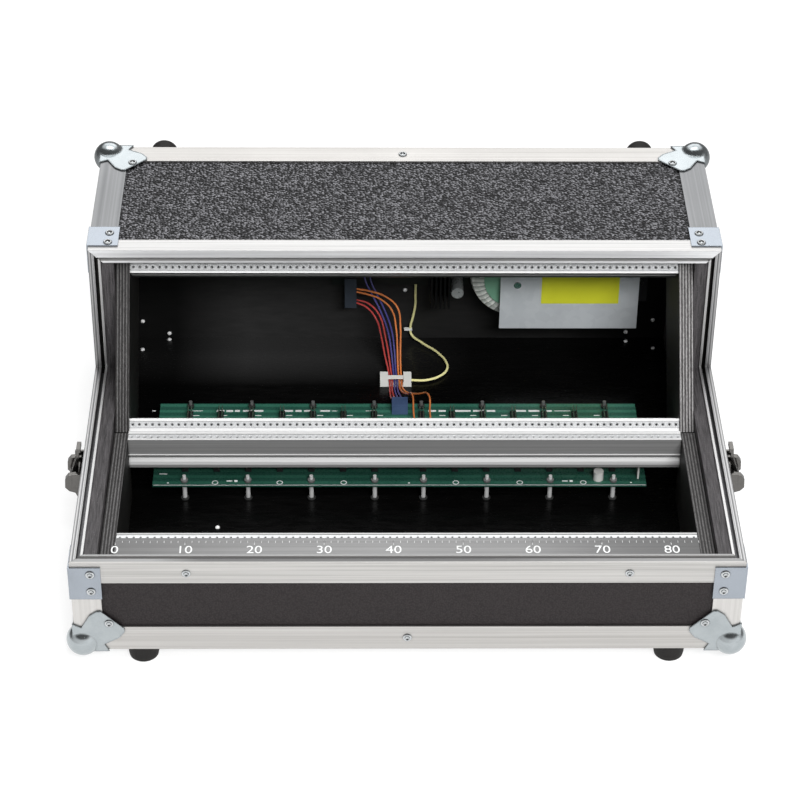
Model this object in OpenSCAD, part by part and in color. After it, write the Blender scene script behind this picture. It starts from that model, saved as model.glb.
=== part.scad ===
// Modular synthesizer case: open base of a two-row portable case.
// Millimetres, Z up, front towards -Y, resting plane of the feet at Z = 0.

/* [Rows] */
// Width of a module row in 5.08 mm units
hp = 84; // [72:2:104]
// Height of the lower row's rail face above the case bottom
row_z = 72; // [64:1:90]
// Distance of the front rail's hole line behind the front face
row_y = 42; // [40:1:60]
// Tilt of the upper row from level
row_tilt = 51.5; // [45:0.5:58]
// Distance between the hole lines of one row
row_span = 122.5; // [122.5:0.5:130]

/* [Case] */
// Depth over the edge angles
case_d = 396; // [380:1:460]
// Thickness of the wooden panels
panel_t = 8; // [6:0.5:10]
// Thickness of the side liners
liner_t = 9.7; // [6:0.1:14]
// Thickness of the cheeks that carry the rails
cheek_t = 10.6; // [8:0.1:14]
// Height of the front edge above the lower rail face
front_up = 10.5; // [8:0.5:20]

/* [Edges] */
// Sheet thickness of the edge angles
edge_t = 1.5; // [1:0.1:2]
// Leg width of the edge angles
edge_f = 21.5; // [18:0.5:28]
// Flange of the top lid lip
top_f = 15.3; // [12:0.1:20]
// Flange of the front lid lip
front_f = 19.2; // [16:0.1:24]
// Depth of the groove in the lid lips
groove_d = 6.2; // [4:0.1:8]

/* [Fittings] */
// Height of the rubber feet
foot_h = 15; // [8:1:25]
// Radius of the rubber feet at their base
foot_r = 12; // [9:0.5:14]
// Distance of the feet from the case edges
foot_in = 12.5; // [12.5:0.5:30]
// Ball radius of the corners
ball_r = 12.5; // [9:0.5:14]
// Distance of the latches behind the front face
latch_y = 142; // [100:1:180]

/* [Boards] */
// Length of a bus board
bus_l = 386; // [300:2:400]
// Width of a bus board
bus_w = 50; // [40:1:52]
// Height of the spacers under the bus boards
bus_up = 15; // [12:1:22]
// Outer radius of the transformer
tor_r = 38.5; // [30:0.5:42]

/* [Hidden] */
$fn = 32;
pitch = 5.08;
rail_l = hp * pitch;
rail_in = 4.7;
rail_out = 6.4;
rail_h = 26;
core_d = 15;
// Rail side towards the row, top to bottom: wall, bead, hollow and flared skirt
rail_side = [[rail_in, 0], [rail_in, -13.8], [rail_in + 0.6, -14.3], [rail_in + 0.6, -15.7],
    [rail_in - 0.2, -16.2], [rail_in - 1.3, -16.9], [rail_in - 1.3, -17.7], [rail_in - 0.3, -18.8],
    [rail_in + 0.7, -21], [rail_in + 1.1, -23.4], [rail_in + 1.1, -rail_h]];
slot_w = 5.6;
strip_w = 5.4;
strip_t = 2.6;
fit = 0.1;
run_fit = 0.08;
lip_w = edge_t + panel_t;
lip_out = 4.7;
lip_in = 1.9;
// The top lip reaches lower than the wood behind it, clear of the path of the top rail's screws
top_drop = 1.9;
lip_d = groove_d + 1.5;
cheek_in = rail_l / 2 + 0.14;
liner_in = cheek_in + cheek_t + 0.6;
hw = liner_in + liner_t + fit + lip_w;
wall = edge_t + panel_t;
floor_z = wall;
// Hole lines of the four rails, front to top
r4 = [row_y, row_z];
r3 = [row_y + row_span, row_z];
r2 = [r3[0] + 13.5, row_z + 1];
r1 = [r2[0] + row_span * cos(row_tilt), r2[1] + row_span * sin(row_tilt)];
open_y = r1[0] - 12.3;
case_h = r1[1] + 23.13;
front_h = row_z + front_up;
back_y = case_d - wall;
cut = 0.1;
// Middle between the front of the ball corners and the ends of the back feet
ball_c = 5.6;
mid_y = (case_d + foot_h + ball_c - ball_r) / 2;
foot_x = hw - 49;
// Straight part of an angle at a mitred end
tip = edge_t + fit;
low_f = max(front_f, edge_f) + fit;
up_deep = min(86, (r2[1] - 6 * sin(row_tilt) - floor_z - 3) / cos(row_tilt));
bus_z = floor_z + bus_up;
bus_t = 1.6;
bus_x = -3.7;
bus_e = bus_x + bus_l / 2;
bus_y = [r3[0] - 3, r3[0] + 54.5];
head_n = 7;
head_p = 24.8;
head_x = [-172, 15];
tor_x = 95;
tor_z = 91;
tor_t = 32;
cover_x = [81, 195.4];
cover_y = back_y - 41.5;
cover_z = [48, min(150, case_h - wall - 6)];
psu_x = [-58, 56];
psu_z = [72, min(150, case_h - wall - 6)];
psu_y = back_y - 10;
inlet_x = 164;
inlet_z = 104;
rocker_a = 8;
// Latch pins, seen from the case side
pin_p = [6, front_h - 24.5];
pin_q = [11, front_h - 29.5];
// Wire routes: points from start to end
w_red1 = [[-37.5, 368, 58], [-29, 364, 56], [-21, 358, 48], [-17, 349, 37], [-14, 339, 25],
    [-11, 330, 15], [-10, 321, 12], [-10, 306, 12], [-9, 291, 15], [-7, 277, 25], [-7, 266.1, 30]];
w_red2 = [[-37.5, 368, 61], [-27, 364, 59.5], [-18, 358, 51], [-14, 349, 39], [-11, 339, 26.5],
    [-9, 330, 15.5], [-8, 321, 12], [-8, 306, 12], [-6, 291, 15], [-4, 277, 25], [-4, 266.1, 30]];
w_blue1 = [[-32, 374, 86], [-30, 371.5, 77], [-25.5, 369, 67.5], [-18.5, 362, 56], [-11.5, 350, 42],
    [-8.5, 339, 28], [-7, 330, 16], [-6, 321, 12], [-5.8, 306, 12], [-3, 291, 15], [-1, 277, 25],
    [-1, 266.1, 30]];
w_blue2 = [[-27, 374, 86], [-25.5, 371.5, 77], [-21.5, 369, 68], [-15, 362, 57], [-8.5, 350, 43.5],
    [-6, 339, 29.5], [-5, 330, 16.5], [-4, 321, 12], [-3.8, 311, 12], [-2.4, 300.5, 13], [0, 290, 16],
    [2, 277, 25], [2, 266.1, 30]];
w_org1 = [[-37.5, 366.5, 73], [-26, 364.3, 72], [-14, 363, 68], [-3.5, 358, 60], [-1, 349, 47],
    [-1, 339, 32], [-0.8, 330, 17.5], [0, 321, 12], [0.3, 311, 12], [4.4, 301, 14], [12, 290, 20.5],
    [20.5, 276, 31], [21.6, 250, 33], [20, 228, 33], [12, 217, 31], [8.5, 208.6, 30]];
w_org2 = [[-37.5, 366.5, 70], [-27, 364.3, 68.5], [-17, 363, 64.5], [-8, 358, 57], [-4.6, 349, 45],
    [-3.5, 339, 31], [-3, 330, 17], [-2, 321, 12], [-1.8, 311, 12], [0.4, 301, 14.4], [4, 290, 20.5],
    [7.6, 276, 31], [8.4, 250, 33], [8, 228, 33], [4, 217, 31], [3.5, 208.6, 30]];
w_loop = [[12, 380, 76], [12, 381, 68], [12, 384, 54], [12, 385, 44], [10, 384, 32], [8, 383, 22],
    [9, 382, 16], [16, 376, 13], [30, 362, 12], [38, 346, 12], [38, 336, 12], [32, 327, 12],
    [20, 321, 12], [8.1, 321, 12]];
wing = [[-1.2, -1.2], [-1.2, 25], [5.5, 21.5], [12, 33], [17.5, 37], [20.5, 37], [37, 20.5], [37, 17.5],
    [33, 12], [21.5, 5.5], [25, -1.2]];
wing_in = 26;

// Moves case coordinates (front face at y = 0, bottom at z = 0) to the part's frame
module place() translate([0, -mid_y, foot_h]) children();

// The same piece on the right and mirrored on the left
module pair() {
    children();
    mirror([1, 0, 0]) children();
}

// Outline in (y, z) drawn out from x0 to x1
module along_x(x0, x1) translate([x0, 0, 0]) rotate([90, 0, 90]) linear_extrude(x1 - x0) children();

// Outline in (x, z) drawn out from y0 to y1
module along_y(y0, y1) translate([0, y1, 0]) rotate([90, 0, 0]) linear_extrude(y1 - y0) children();

// Block between two corners
module block(a, b) translate(a) cube(b - a);

// Round bar along x, y or z
module bar_x(r, x0, x1, y, z) translate([x0, y, z]) rotate([0, 90, 0]) cylinder(r = r, h = x1 - x0);
module bar_y(r, y0, y1, x, z) translate([x, y1, z]) rotate([90, 0, 0]) cylinder(r = r, h = y1 - y0);

// Strip of the side outline between two distances from the opening edge
module band(b0, b1) polygon([[open_y + b0, case_h], [open_y + b0, front_h - b0], [0, front_h - b0],
    [0, front_h - b1], [open_y + b1, front_h - b1], [open_y + b1, case_h]]);

// Side outline below the opening edge, b from the edge and e from the other faces
module side_shape(b, e) polygon([[e, e], [case_d - e, e], [case_d - e, case_h - e],
    [open_y + b, case_h - e], [open_y + b, front_h - b], [e, front_h - b]]);

module bottom_panel() color("#2a2623") place()
    block([-hw + edge_t, edge_t, edge_t], [hw - edge_t, case_d - edge_t, wall]);

module front_panel() color("#2a2623") place()
    block([-hw + edge_t, edge_t, wall], [hw - edge_t, wall, front_h - lip_d - fit]);

module back_panel() color("#2a2623") place()
    difference() {
        block([-hw + edge_t, back_y, wall], [hw - edge_t, case_d - edge_t, case_h - wall]);
        block([inlet_x - 13.7, back_y - 1, inlet_z - 23.7],
            [inlet_x + 13.7, case_d, inlet_z + 23.7]);
    }

module top_panel() color("#2a2623") place()
    block([-hw + edge_t, open_y + lip_d + fit, case_h - wall],
        [hw - edge_t, case_d - edge_t, case_h - edge_t]);

module side_panel() along_x(hw - wall, hw - edge_t) side_shape(lip_d + fit, wall);
module left_panel() color("#2a2623") place() mirror([1, 0, 0]) side_panel();
module right_panel() color("#2a2623") place() side_panel();

module side_liner() difference() {
    along_x(liner_in, liner_in + liner_t) side_shape(2, wall + fit);
    block([liner_in - 1, open_y, case_h - lip_w - top_drop - fit],
        [liner_in + liner_t + 1, open_y + lip_d + fit, case_h]);
}
module left_liner() color("#35302c") place() mirror([1, 0, 0]) side_liner();
module right_liner() color("#35302c") place() side_liner();

// Screw bore with a sunk head, through a cheek at the core of a rail
module core_bore(p, tilt) {
    y = p[0] + core_d * sin(tilt);
    z = p[1] - core_d * cos(tilt);
    bar_x(2.1, cheek_in - 1, cheek_in + cheek_t + 1, y, z);
    bar_x(4, cheek_in + cheek_t - 2.6, cheek_in + cheek_t + 1, y, z);
}

module cheek_low() difference() {
    block([cheek_in, wall + 1, floor_z + fit], [cheek_in + cheek_t, r3[0] + 3.5, row_z + 0.3]);
    core_bore(r4, 0);
    core_bore(r3, 0);
}
module left_cheek_low() color("#55504a") place() mirror([1, 0, 0]) cheek_low();
module right_cheek_low() color("#55504a") place() cheek_low();

module cheek_up() difference() {
    translate([cheek_in, r2[0], r2[1]]) rotate([row_tilt, 0, 0])
        translate([0, -6, -up_deep]) cube([cheek_t, row_span + 18, up_deep + 1.5]);
    core_bore(r2, row_tilt);
    core_bore(r1, row_tilt);
}
module left_cheek_up() color("#55504a") place() mirror([1, 0, 0]) cheek_up();
module right_cheek_up() color("#55504a") place() cheek_up();

// Rail section: top face at y = 0, hole line at x = 0, row towards +x
module rail_section() difference() {
    polygon(concat(rail_side, [[-rail_out, -rail_h], [-rail_out, 0]]));
    translate([-slot_w / 2, -3]) square([slot_w, 4]);
    translate([-1.9, -11]) square([3.8, 9]);
    translate([-3, -rail_h - 1]) square([6, 6]);
    translate([0, -core_d]) circle(r = 2);
}

// Places a section along a rail's hole line
module on_row(p, tilt) translate([-rail_l / 2, p[0], p[1]]) rotate([tilt, 0, 0])
    rotate([90, 0, 90]) linear_extrude(rail_l) children();

module rail_top() color("#c9cbcd") place() on_row(r1, row_tilt) mirror([1, 0]) rail_section();
module rail_mid_up() color("#c9cbcd") place() on_row(r2, row_tilt) rail_section();
module rail_mid_low() color("#c9cbcd") place() on_row(r3, 0) mirror([1, 0]) rail_section();
module rail_front() color("#c9cbcd") place() on_row(r4, 0) rail_section();

// One threaded strip, bored at the two holes nearest each end
module strip(p, tilt) difference() {
    on_row(p, tilt) translate([-strip_w / 2, -strip_t - 0.3]) square([strip_w, strip_t]);
    for (k = [0.5, 1.5, hp - 1.5, hp - 0.5])
        translate([k * pitch - rail_l / 2, p[0], p[1]]) rotate([tilt, 0, 0])
            translate([0, 0, -4]) cylinder(r = 1.25, h = 5);
}
module thread_strips() color("#b9bbbd") place() {
    strip(r1, row_tilt);
    strip(r2, row_tilt);
    strip(r3, 0);
    strip(r4, 0);
}

module front_strip() color("#4b4d50") place()
    block([-rail_l / 2, wall + 1, row_z], [rail_l / 2, row_y - slot_w / 2 - 0.2, row_z + 1.5]);

// Countersunk screw through a cheek into the core of a rail
module rail_screw(p, tilt) {
    y = p[0] + core_d * sin(tilt);
    z = p[1] - core_d * cos(tilt);
    bar_x(1.9, cheek_in - 12, cheek_in + cheek_t - 2, y, z);
    bar_x(3.8, cheek_in + cheek_t - 2.5, cheek_in + cheek_t - 0.2, y, z);
}
module rail_screws() color("#9a9c9e") place() pair() {
    rail_screw(r1, row_tilt);
    rail_screw(r2, row_tilt);
    rail_screw(r3, 0);
    rail_screw(r4, 0);
}

// Long angles: top back, back low, front low
module edges_long() color("#c4c6c8") place() {
    a = hw - tip;
    b = hw - edge_f - fit;
    translate([0, 0, case_h - edge_t]) linear_extrude(edge_t)
        polygon([[-a, case_d], [a, case_d], [b, case_d - edge_f], [-b, case_d - edge_f]]);
    along_y(case_d - edge_t, case_d)
        polygon([[-a, case_h], [a, case_h], [b, case_h - edge_f], [-b, case_h - edge_f]]);
    linear_extrude(edge_t)
        polygon([[-a, case_d], [a, case_d], [b, case_d - edge_f], [-b, case_d - edge_f]]);
    along_y(case_d - edge_t, case_d) polygon([[-a, 0], [a, 0], [b, edge_f], [-b, edge_f]]);
    linear_extrude(edge_t) polygon([[-a, 0], [a, 0], [b, edge_f], [-b, edge_f]]);
    along_y(0, edge_t) polygon([[-a, 0], [a, 0], [b, edge_f], [-b, edge_f]]);
}

module edges_top_side() color("#c4c6c8") place() pair() {
    y0 = open_y + edge_f + fit;
    y1 = case_d - tip;
    y2 = case_d - edge_f - fit;
    translate([0, 0, case_h - edge_t]) linear_extrude(edge_t)
        polygon([[hw, y0], [hw, y1], [hw - edge_f, y2], [hw - edge_f, y0]]);
    along_x(hw - edge_t, hw)
        polygon([[y0, case_h], [y1, case_h], [y2, case_h - edge_f], [y0, case_h - edge_f]]);
}

module edges_front_side() color("#c4c6c8") place() pair() {
    z1 = front_h - low_f;
    along_y(0, edge_t)
        polygon([[hw, tip], [hw, z1], [hw - edge_f, z1], [hw - edge_f, edge_f + fit]]);
    along_x(hw - edge_t, hw) polygon([[0, tip], [0, z1], [edge_f, z1], [edge_f, edge_f + fit]]);
}

module edges_back_side() color("#c4c6c8") place() pair() {
    z1 = case_h - tip;
    z2 = case_h - edge_f - fit;
    along_y(case_d - edge_t, case_d)
        polygon([[hw, tip], [hw, z1], [hw - edge_f, z2], [hw - edge_f, edge_f + fit]]);
    along_x(hw - edge_t, hw) polygon([[case_d, tip], [case_d, z1], [case_d - edge_f, z2],
        [case_d - edge_f, edge_f + fit]]);
}

module edges_bottom_side() color("#c4c6c8") place() pair() {
    y1 = case_d - tip;
    y2 = case_d - edge_f - fit;
    linear_extrude(edge_t)
        polygon([[hw, tip], [hw, y1], [hw - edge_f, y2], [hw - edge_f, edge_f + fit]]);
    along_x(hw - edge_t, hw) polygon([[tip, 0], [y1, 0], [y2, edge_f], [edge_f + fit, edge_f]]);
}

// Lid lips: flange outside, then outer lip, groove and inner lip towards the opening
module lip_top() color("#c4c6c8") place() difference() {
    along_x(-hw, hw) {
        translate([open_y, case_h - edge_t]) square([top_f, edge_t]);
        translate([open_y, case_h - lip_out - top_drop]) square([lip_d, lip_out + top_drop]);
        translate([open_y + groove_d, case_h - lip_w - top_drop]) square([lip_d - groove_d, lip_w]);
        translate([open_y, case_h - lip_w - top_drop]) square([lip_d, lip_in]);
    }
    pair() along_y(open_y - 1, open_y + top_f + 1)
        polygon([[hw - 20, case_h - 20], [hw + 2, case_h + 2 + cut], [hw + 2, case_h - 20]]);
}

module lip_front() color("#c4c6c8") place() difference() {
    along_x(-hw, hw) {
        translate([0, front_h - front_f]) square([edge_t, front_f]);
        translate([0, front_h - lip_d]) square([lip_out, lip_d]);
        translate([0, front_h - lip_d]) square([lip_w, lip_d - groove_d]);
        translate([lip_w - lip_in, front_h - lip_d]) square([lip_in, lip_d]);
    }
    pair() translate([0, 0, front_h - front_f - 1]) linear_extrude(front_f + 2)
        polygon([[hw + 2, -2 - cut], [hw - 20, 20], [hw + 2, 20]]);
}

module lip_side() difference() {
    union() {
        along_x(hw - edge_t, hw) band(0, edge_f);
        along_x(hw - lip_out, hw) band(0, lip_d);
        along_x(hw - lip_w, hw) band(groove_d, lip_d);
        along_x(hw - lip_w, hw - lip_w + lip_in) band(0, lip_d);
    }
    along_y(open_y - 1, open_y + edge_f + 1)
        polygon([[hw - 20, case_h - 20 - cut], [hw + 2, case_h + 2 - cut], [hw + 2, case_h + 9],
            [hw - 20, case_h + 9]]);
    translate([0, 0, front_h - edge_f - 1]) linear_extrude(edge_f + 2)
        polygon([[hw + 2, -2 + cut], [hw - 20, 20 + cut], [hw - 20, -9], [hw + 2, -9]]);
}
module lip_left() color("#c4c6c8") place() mirror([1, 0, 0]) lip_side();
module lip_right() color("#c4c6c8") place() lip_side();

// Ball corner for a corner at the origin with the case on the positive sides
module ball_corner() difference() {
    union() {
        translate([ball_c, ball_c, ball_c]) sphere(r = ball_r);
        translate([0, 0, -1.2]) linear_extrude(1.2) polygon(wing);
        along_y(-1.2, 0) polygon(wing);
        along_x(-1.2, 0) polygon(wing);
    }
    cube(60);
}
module ball_corners() color("#aeb6bb") place() {
    for (s = [0, 1]) {
        translate([(2 * s - 1) * hw, 0, 0]) mirror([s, 0, 0]) ball_corner();
        translate([(2 * s - 1) * hw, case_d, 0]) mirror([s, 0, 0]) mirror([0, 1, 0]) ball_corner();
        translate([(2 * s - 1) * hw, case_d, case_h]) mirror([s, 0, 0]) mirror([0, 1, 0])
            mirror([0, 0, 1]) ball_corner();
    }
}

// Corner braces over the joints of the lid lips
module braces() color("#aeb6bb") place() pair() {
    block([hw - 23, open_y + 5.5, case_h], [hw + 1.2, open_y + 32, case_h + 1.2]);
    block([hw, open_y + 5.5, case_h - 24], [hw + 1.2, open_y + 32, case_h + 0.6]);
    block([hw - 22.4, -1.2, front_h - 33.4], [hw + 1.2, 0, front_h - 4.2]);
    block([hw, -0.6, front_h - 33.4], [hw + 1.2, 25, front_h - 4.2]);
}

// Rivet head on a face, pointing along +z
module rivet() {
    cylinder(r = 3.4, h = 0.4);
    translate([0, 0, 0.4]) cylinder(r1 = 3.4, r2 = 1.8, h = 0.9);
}
module rivet_up(x, y, z) translate([x, y, z]) rivet();
module rivet_front(x, y, z) translate([x, y, z]) rotate([90, 0, 0]) rivet();
module rivet_back(x, y, z) translate([x, y, z]) rotate([-90, 0, 0]) rivet();
module rivet_side(x, y, z) translate([x, y, z]) rotate([0, 90, 0]) rivet();
module rivet_down(x, y, z) translate([x, y, z]) rotate([180, 0, 0]) rivet();
module rivets() color("#b4babd") place() {
    pair() {
        rivet_front(hw - wing_in, -1.2, wing_in);
        rivet_side(hw + 1.2, wing_in, wing_in);
        rivet_down(hw - wing_in, wing_in, -1.2);
        rivet_back(hw - wing_in, case_d + 1.2, wing_in);
        rivet_side(hw + 1.2, case_d - wing_in, wing_in);
        rivet_down(hw - wing_in, case_d - wing_in, -1.2);
        rivet_up(hw - wing_in, case_d - wing_in, case_h + 1.2);
        rivet_back(hw - wing_in, case_d + 1.2, case_h - wing_in);
        rivet_side(hw + 1.2, case_d - wing_in, case_h - wing_in);
        rivet_up(hw - 15.5, open_y + 23, case_h + 1.2);
        rivet_up(hw - 15, open_y + 10, case_h + 1.2);
        rivet_side(hw + 1.2, open_y + 18, case_h - 14);
        rivet_front(hw - 14.8, -1.2, front_h - 10.3);
        rivet_front(hw - 14.8, -1.2, front_h - 26);
        rivet_side(hw + 1.2, 14, front_h - 18);
        rivet_front(hw - 84, 0, front_h - 10);
        rivet_side(hw, open_y + 11, (front_h + case_h) / 2 - 8);
        rivet_side(hw, 70, front_h - 11);
        rivet_side(hw, case_d - 11, case_h / 2);
    }
    rivet_up(0, case_d - 11, case_h);
    rivet_back(0, case_d, case_h - 11);
    rivet_back(0, case_d, 11);
    rivet_front(0, 0, 11);
}

// Rubber foot hanging below the origin
module foot() rotate_extrude() polygon([[0, 0], [foot_r, 0], [foot_r - 0.7, -foot_h * 0.75],
    [foot_r - 1.2, -foot_h + 1], [foot_r - 2.2, -foot_h], [0, -foot_h]]);
module feet_bottom() color("#1b1b1b") place() pair() {
    translate([foot_x, foot_in, 0]) foot();
    translate([foot_x, case_d - foot_in, 0]) foot();
}
module feet_back() color("#1b1b1b") place() pair() {
    translate([foot_x, case_d, foot_in]) rotate([90, 0, 0]) foot();
    translate([foot_x, case_d, case_h - foot_in]) rotate([90, 0, 0]) foot();
}

// Draw latch on the right: base with ears and pin, lever with pin, hook.
// Outlines are given as (x, z) from the case side and the front edge.
module latch_part(w0, w1, p) along_y(latch_y + w0, latch_y + w1)
    translate([hw, front_h]) polygon(p);
module latch_base() {
    block([hw, latch_y - 17, front_h - 54], [hw + 1.5, latch_y + 17, front_h - 9]);
    for (s = [-1, 1]) translate([0, latch_y + s * 15, 0])
        block([hw + 1, -1, pin_p[1] - 6], [hw + 10, 1, pin_p[1] + 6]);
    bar_y(1.6, latch_y - 14.5, latch_y + 14.5, hw + pin_p[0], pin_p[1]);
}
module latch_lever() difference() {
    union() {
        for (w = [-13.6, 9]) latch_part(w, w + 4.6, [[2.2, -24.5], [2.9, -21.8], [5, -20.6],
            [7.5, -20.6], [13, -21.5], [15.6, -25], [16, -32.5], [13, -36], [8.5, -37.5], [6.5, -42.5],
            [5, -51.5], [3.2, -51.5], [3.2, -42.5], [2.6, -32]]);
        latch_part(-9.2, 9.2, [[3.2, -51.5], [5, -51.5], [6.5, -42.5], [8.5, -37.5], [6.2, -37.5],
            [4.6, -42.5], [3.2, -46]]);
        bar_y(1.4, latch_y - 9.5, latch_y + 9.5, hw + pin_q[0], pin_q[1]);
    }
    bar_y(1.6 + run_fit, latch_y - 20, latch_y + 20, hw + pin_p[0], pin_p[1]);
}
module latch_hook() difference() {
    union() {
        bar_y(2.6, latch_y - 8.6, latch_y + 8.6, hw + pin_q[0], pin_q[1]);
        latch_part(-5, 5, [[9.4, -29.5], [12.6, -29.5], [11.4, -24], [8.6, -16], [7, -11], [6.6, -2.5],
            [3.4, -2.5], [3.4, -5.5], [4.6, -5.8], [4.8, -11], [6.6, -17], [9, -24]]);
    }
    bar_y(1.4 + run_fit, latch_y - 20, latch_y + 20, hw + pin_q[0], pin_q[1]);
}
module latch_base_left() color("#8d9194") place() mirror([1, 0, 0]) latch_base();
module latch_base_right() color("#8d9194") place() latch_base();
module latch_lever_left() color("#c7cacc") place() mirror([1, 0, 0]) latch_lever();
module latch_lever_right() color("#c7cacc") place() latch_lever();
module latch_hook_left() color("#8d9194") place() mirror([1, 0, 0]) latch_hook();
module latch_hook_right() color("#8d9194") place() latch_hook();

// Folded sheet over the mains side of the supply
module supply_cover() color("#aab0b4") place() difference() {
    union() {
        block([cover_x[0], cover_y, cover_z[0]], [cover_x[1], cover_y + 1.2, cover_z[1]]);
        block([cover_x[1] - 1.2, cover_y, cover_z[0]], [cover_x[1], back_y, cover_z[1]]);
        block([cover_x[1] - 1.2, back_y - 1.2, cover_z[0]], [cover_x[1] + 12, back_y, cover_z[1]]);
    }
    bar_y(3.2, cover_y - 1, cover_y + 2, tor_x, tor_z);
}
module cover_sticker() color("#e6d400") place()
    block([115, cover_y - 0.2, 73], [179, cover_y, 99]);

// Wound ring with its axis towards the back wall
module transformer() color("#cfd2cc") place() translate([tor_x, back_y - tor_t, tor_z])
    rotate([-90, 0, 0]) rotate_extrude() polygon([[12, 3], [15, 0], [tor_r - 6, 0],
        [tor_r - 1.5, 2], [tor_r, 7], [tor_r, tor_t - 7], [tor_r - 1.5, tor_t - 2],
        [tor_r - 6, tor_t], [15, tor_t], [12, tor_t - 3]]);
module transformer_disc() color("#5f9a6e") place() difference() {
    bar_y(tor_r - 11.5, back_y - tor_t - 2, back_y - tor_t, tor_x, tor_z);
    bar_y(3.2, back_y - tor_t - 3, back_y, tor_x, tor_z);
}
module supply_bolts() color("#8a8c8e") place() {
    bar_y(3, cover_y - 0.5, back_y, tor_x, tor_z);
    bar_y(5, back_y - tor_t - 5, back_y - tor_t - 2, tor_x, tor_z);
    for (z = [cover_z[0] + 20, cover_z[1] - 20])
        bar_y(2.8, back_y - 3.2, back_y - 1.2, cover_x[1] + 6, z);
}

module supply_board() color("#2f6b4f") place() difference() {
    block([psu_x[0], psu_y - 1.6, psu_z[0]], [psu_x[1], psu_y, psu_z[1]]);
    for (x = [psu_x[0] + 5, psu_x[1] - 5]) for (z = [psu_z[0] + 14, psu_z[1] - 14])
        bar_y(1.6, psu_y - 3, psu_y + 1, x, z);
}
module supply_heatsink() color("#26282a") place() {
    y1 = psu_y - 1.6;
    block([24, y1 - 3, 62], [40, y1, 112]);
    for (k = [0:4]) block([24 + 3.6 * k, y1 - 22, 62], [25.6 + 3.6 * k, y1 - 2, 112]);
}
module supply_capacitors() color("#b9bdc0") place() {
    y1 = psu_y - 1.6;
    bar_y(5, y1 - 24, y1, 46, 79);
    bar_y(9, y1 - 30, y1, 8, 118);
    bar_y(9, y1 - 30, y1, -14, 118);
    bar_y(6, y1 - 20, y1, -34, 124);
}
module supply_plug() color("#3d4043") place()
    block([-47.5, psu_y - 12, 55], [-37.6, psu_y - 1.6, 84]);

module bus_board(y) block([bus_x - bus_l / 2, y, bus_z], [bus_x + bus_l / 2, y + bus_w, bus_z + bus_t]);
module spacer_holes(y) for (x = head_x) for (k = [0:2:head_n - 1]) for (d = [5, bus_w - 5])
    translate([x + k * head_p, y + d, bus_z - 1]) cylinder(r = 1.6, h = 4);
module bus_board_low() color("#3c7d62") place() difference() {
    bus_board(bus_y[0]);
    spacer_holes(bus_y[0]);
}
module bus_board_up() color("#3c7d62") place() difference() {
    bus_board(bus_y[1]);
    spacer_holes(bus_y[1]);
}

// Pin headers, two by eight, with the pins as one field
module header(x, y) {
    z = bus_z + bus_t;
    block([x - 2.5, y - 10.1, z], [x + 2.5, y + 10.1, z + 2.5]);
    block([x - 1.6, y - 9.2, z + 2.5], [x + 1.6, y + 9.2, z + 8.5]);
}
module bus_headers() color("#2b2b2d") place()
    for (y = bus_y) for (x = head_x) for (k = [0:head_n - 1])
        header(x + k * head_p, y + bus_w / 2 + 2);

// Connectors, flat tabs and a capacitor on the bus boards
module bus_terminals() color("#4a6fa8") place() {
    z = bus_z + bus_t;
    block([-9, bus_y[1] + bus_w - 15, z], [4, bus_y[1] + bus_w - 3, z + 9]);
    block([0, bus_y[0] + bus_w - 15, z], [12, bus_y[0] + bus_w - 3, z + 9]);
    for (y = bus_y) {
        block([bus_e - 6.7, y + 8, z], [bus_e - 5.3, y + 14.3, z + 11]);
        translate([bus_e - 37.3, y + 8, z]) cylinder(r = 4, h = 8);
    }
}

// Post under a bus board, with a nut and the screw end on top
module bus_spacer(x, y) {
    translate([x, y, floor_z]) cylinder(r = 1.8, h = bus_up);
    translate([x, y, floor_z]) cylinder(r = 3.2, h = 1.2);
    translate([x, y, bus_z]) cylinder(r = 1.4, h = 7.5);
    translate([x, y, bus_z + bus_t]) cylinder(r = 2.8, h = 2.2);
}
module board_spacers() color("#c9cbcc") place() {
    for (y = bus_y) for (x = head_x) for (k = [0:2:head_n - 1]) {
        bus_spacer(x + k * head_p, y + 5);
        bus_spacer(x + k * head_p, y + bus_w - 5);
    }
    for (x = [psu_x[0] + 5, psu_x[1] - 5]) for (z = [psu_z[0] + 14, psu_z[1] - 14]) {
        bar_y(3, psu_y, back_y, x, z);
        bar_y(1.4, psu_y - 4, psu_y, x, z);
    }
}

// Round wire swept along points, eight sides
function unit(v) = v / norm(v);
function tang(p, i) = unit(p[min(i + 1, len(p) - 1)] - p[max(i - 1, 0)]);
function side_of(t) = unit(cross(t, [1, 0.11, 0.07]));
function ring(p, i, r) = let (t = tang(p, i), a = side_of(t), b = cross(t, a))
    [for (k = [0:7]) p[i] + r * (cos(45 * k) * a + sin(45 * k) * b)];
module wire(p, r) {
    n = len(p);
    polyhedron(
        points = [for (i = [0:n - 1]) each ring(p, i, r)],
        faces = concat([[for (k = [0:7]) 7 - k]],
            [for (i = [0:n - 2]) for (k = [0:7]) [8 * i + k, 8 * i + (k + 1) % 8,
                8 * i + 8 + (k + 1) % 8, 8 * i + 8 + k]],
            [[for (k = [0:7]) 8 * (n - 1) + k]]), convexity = 6);
}
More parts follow.
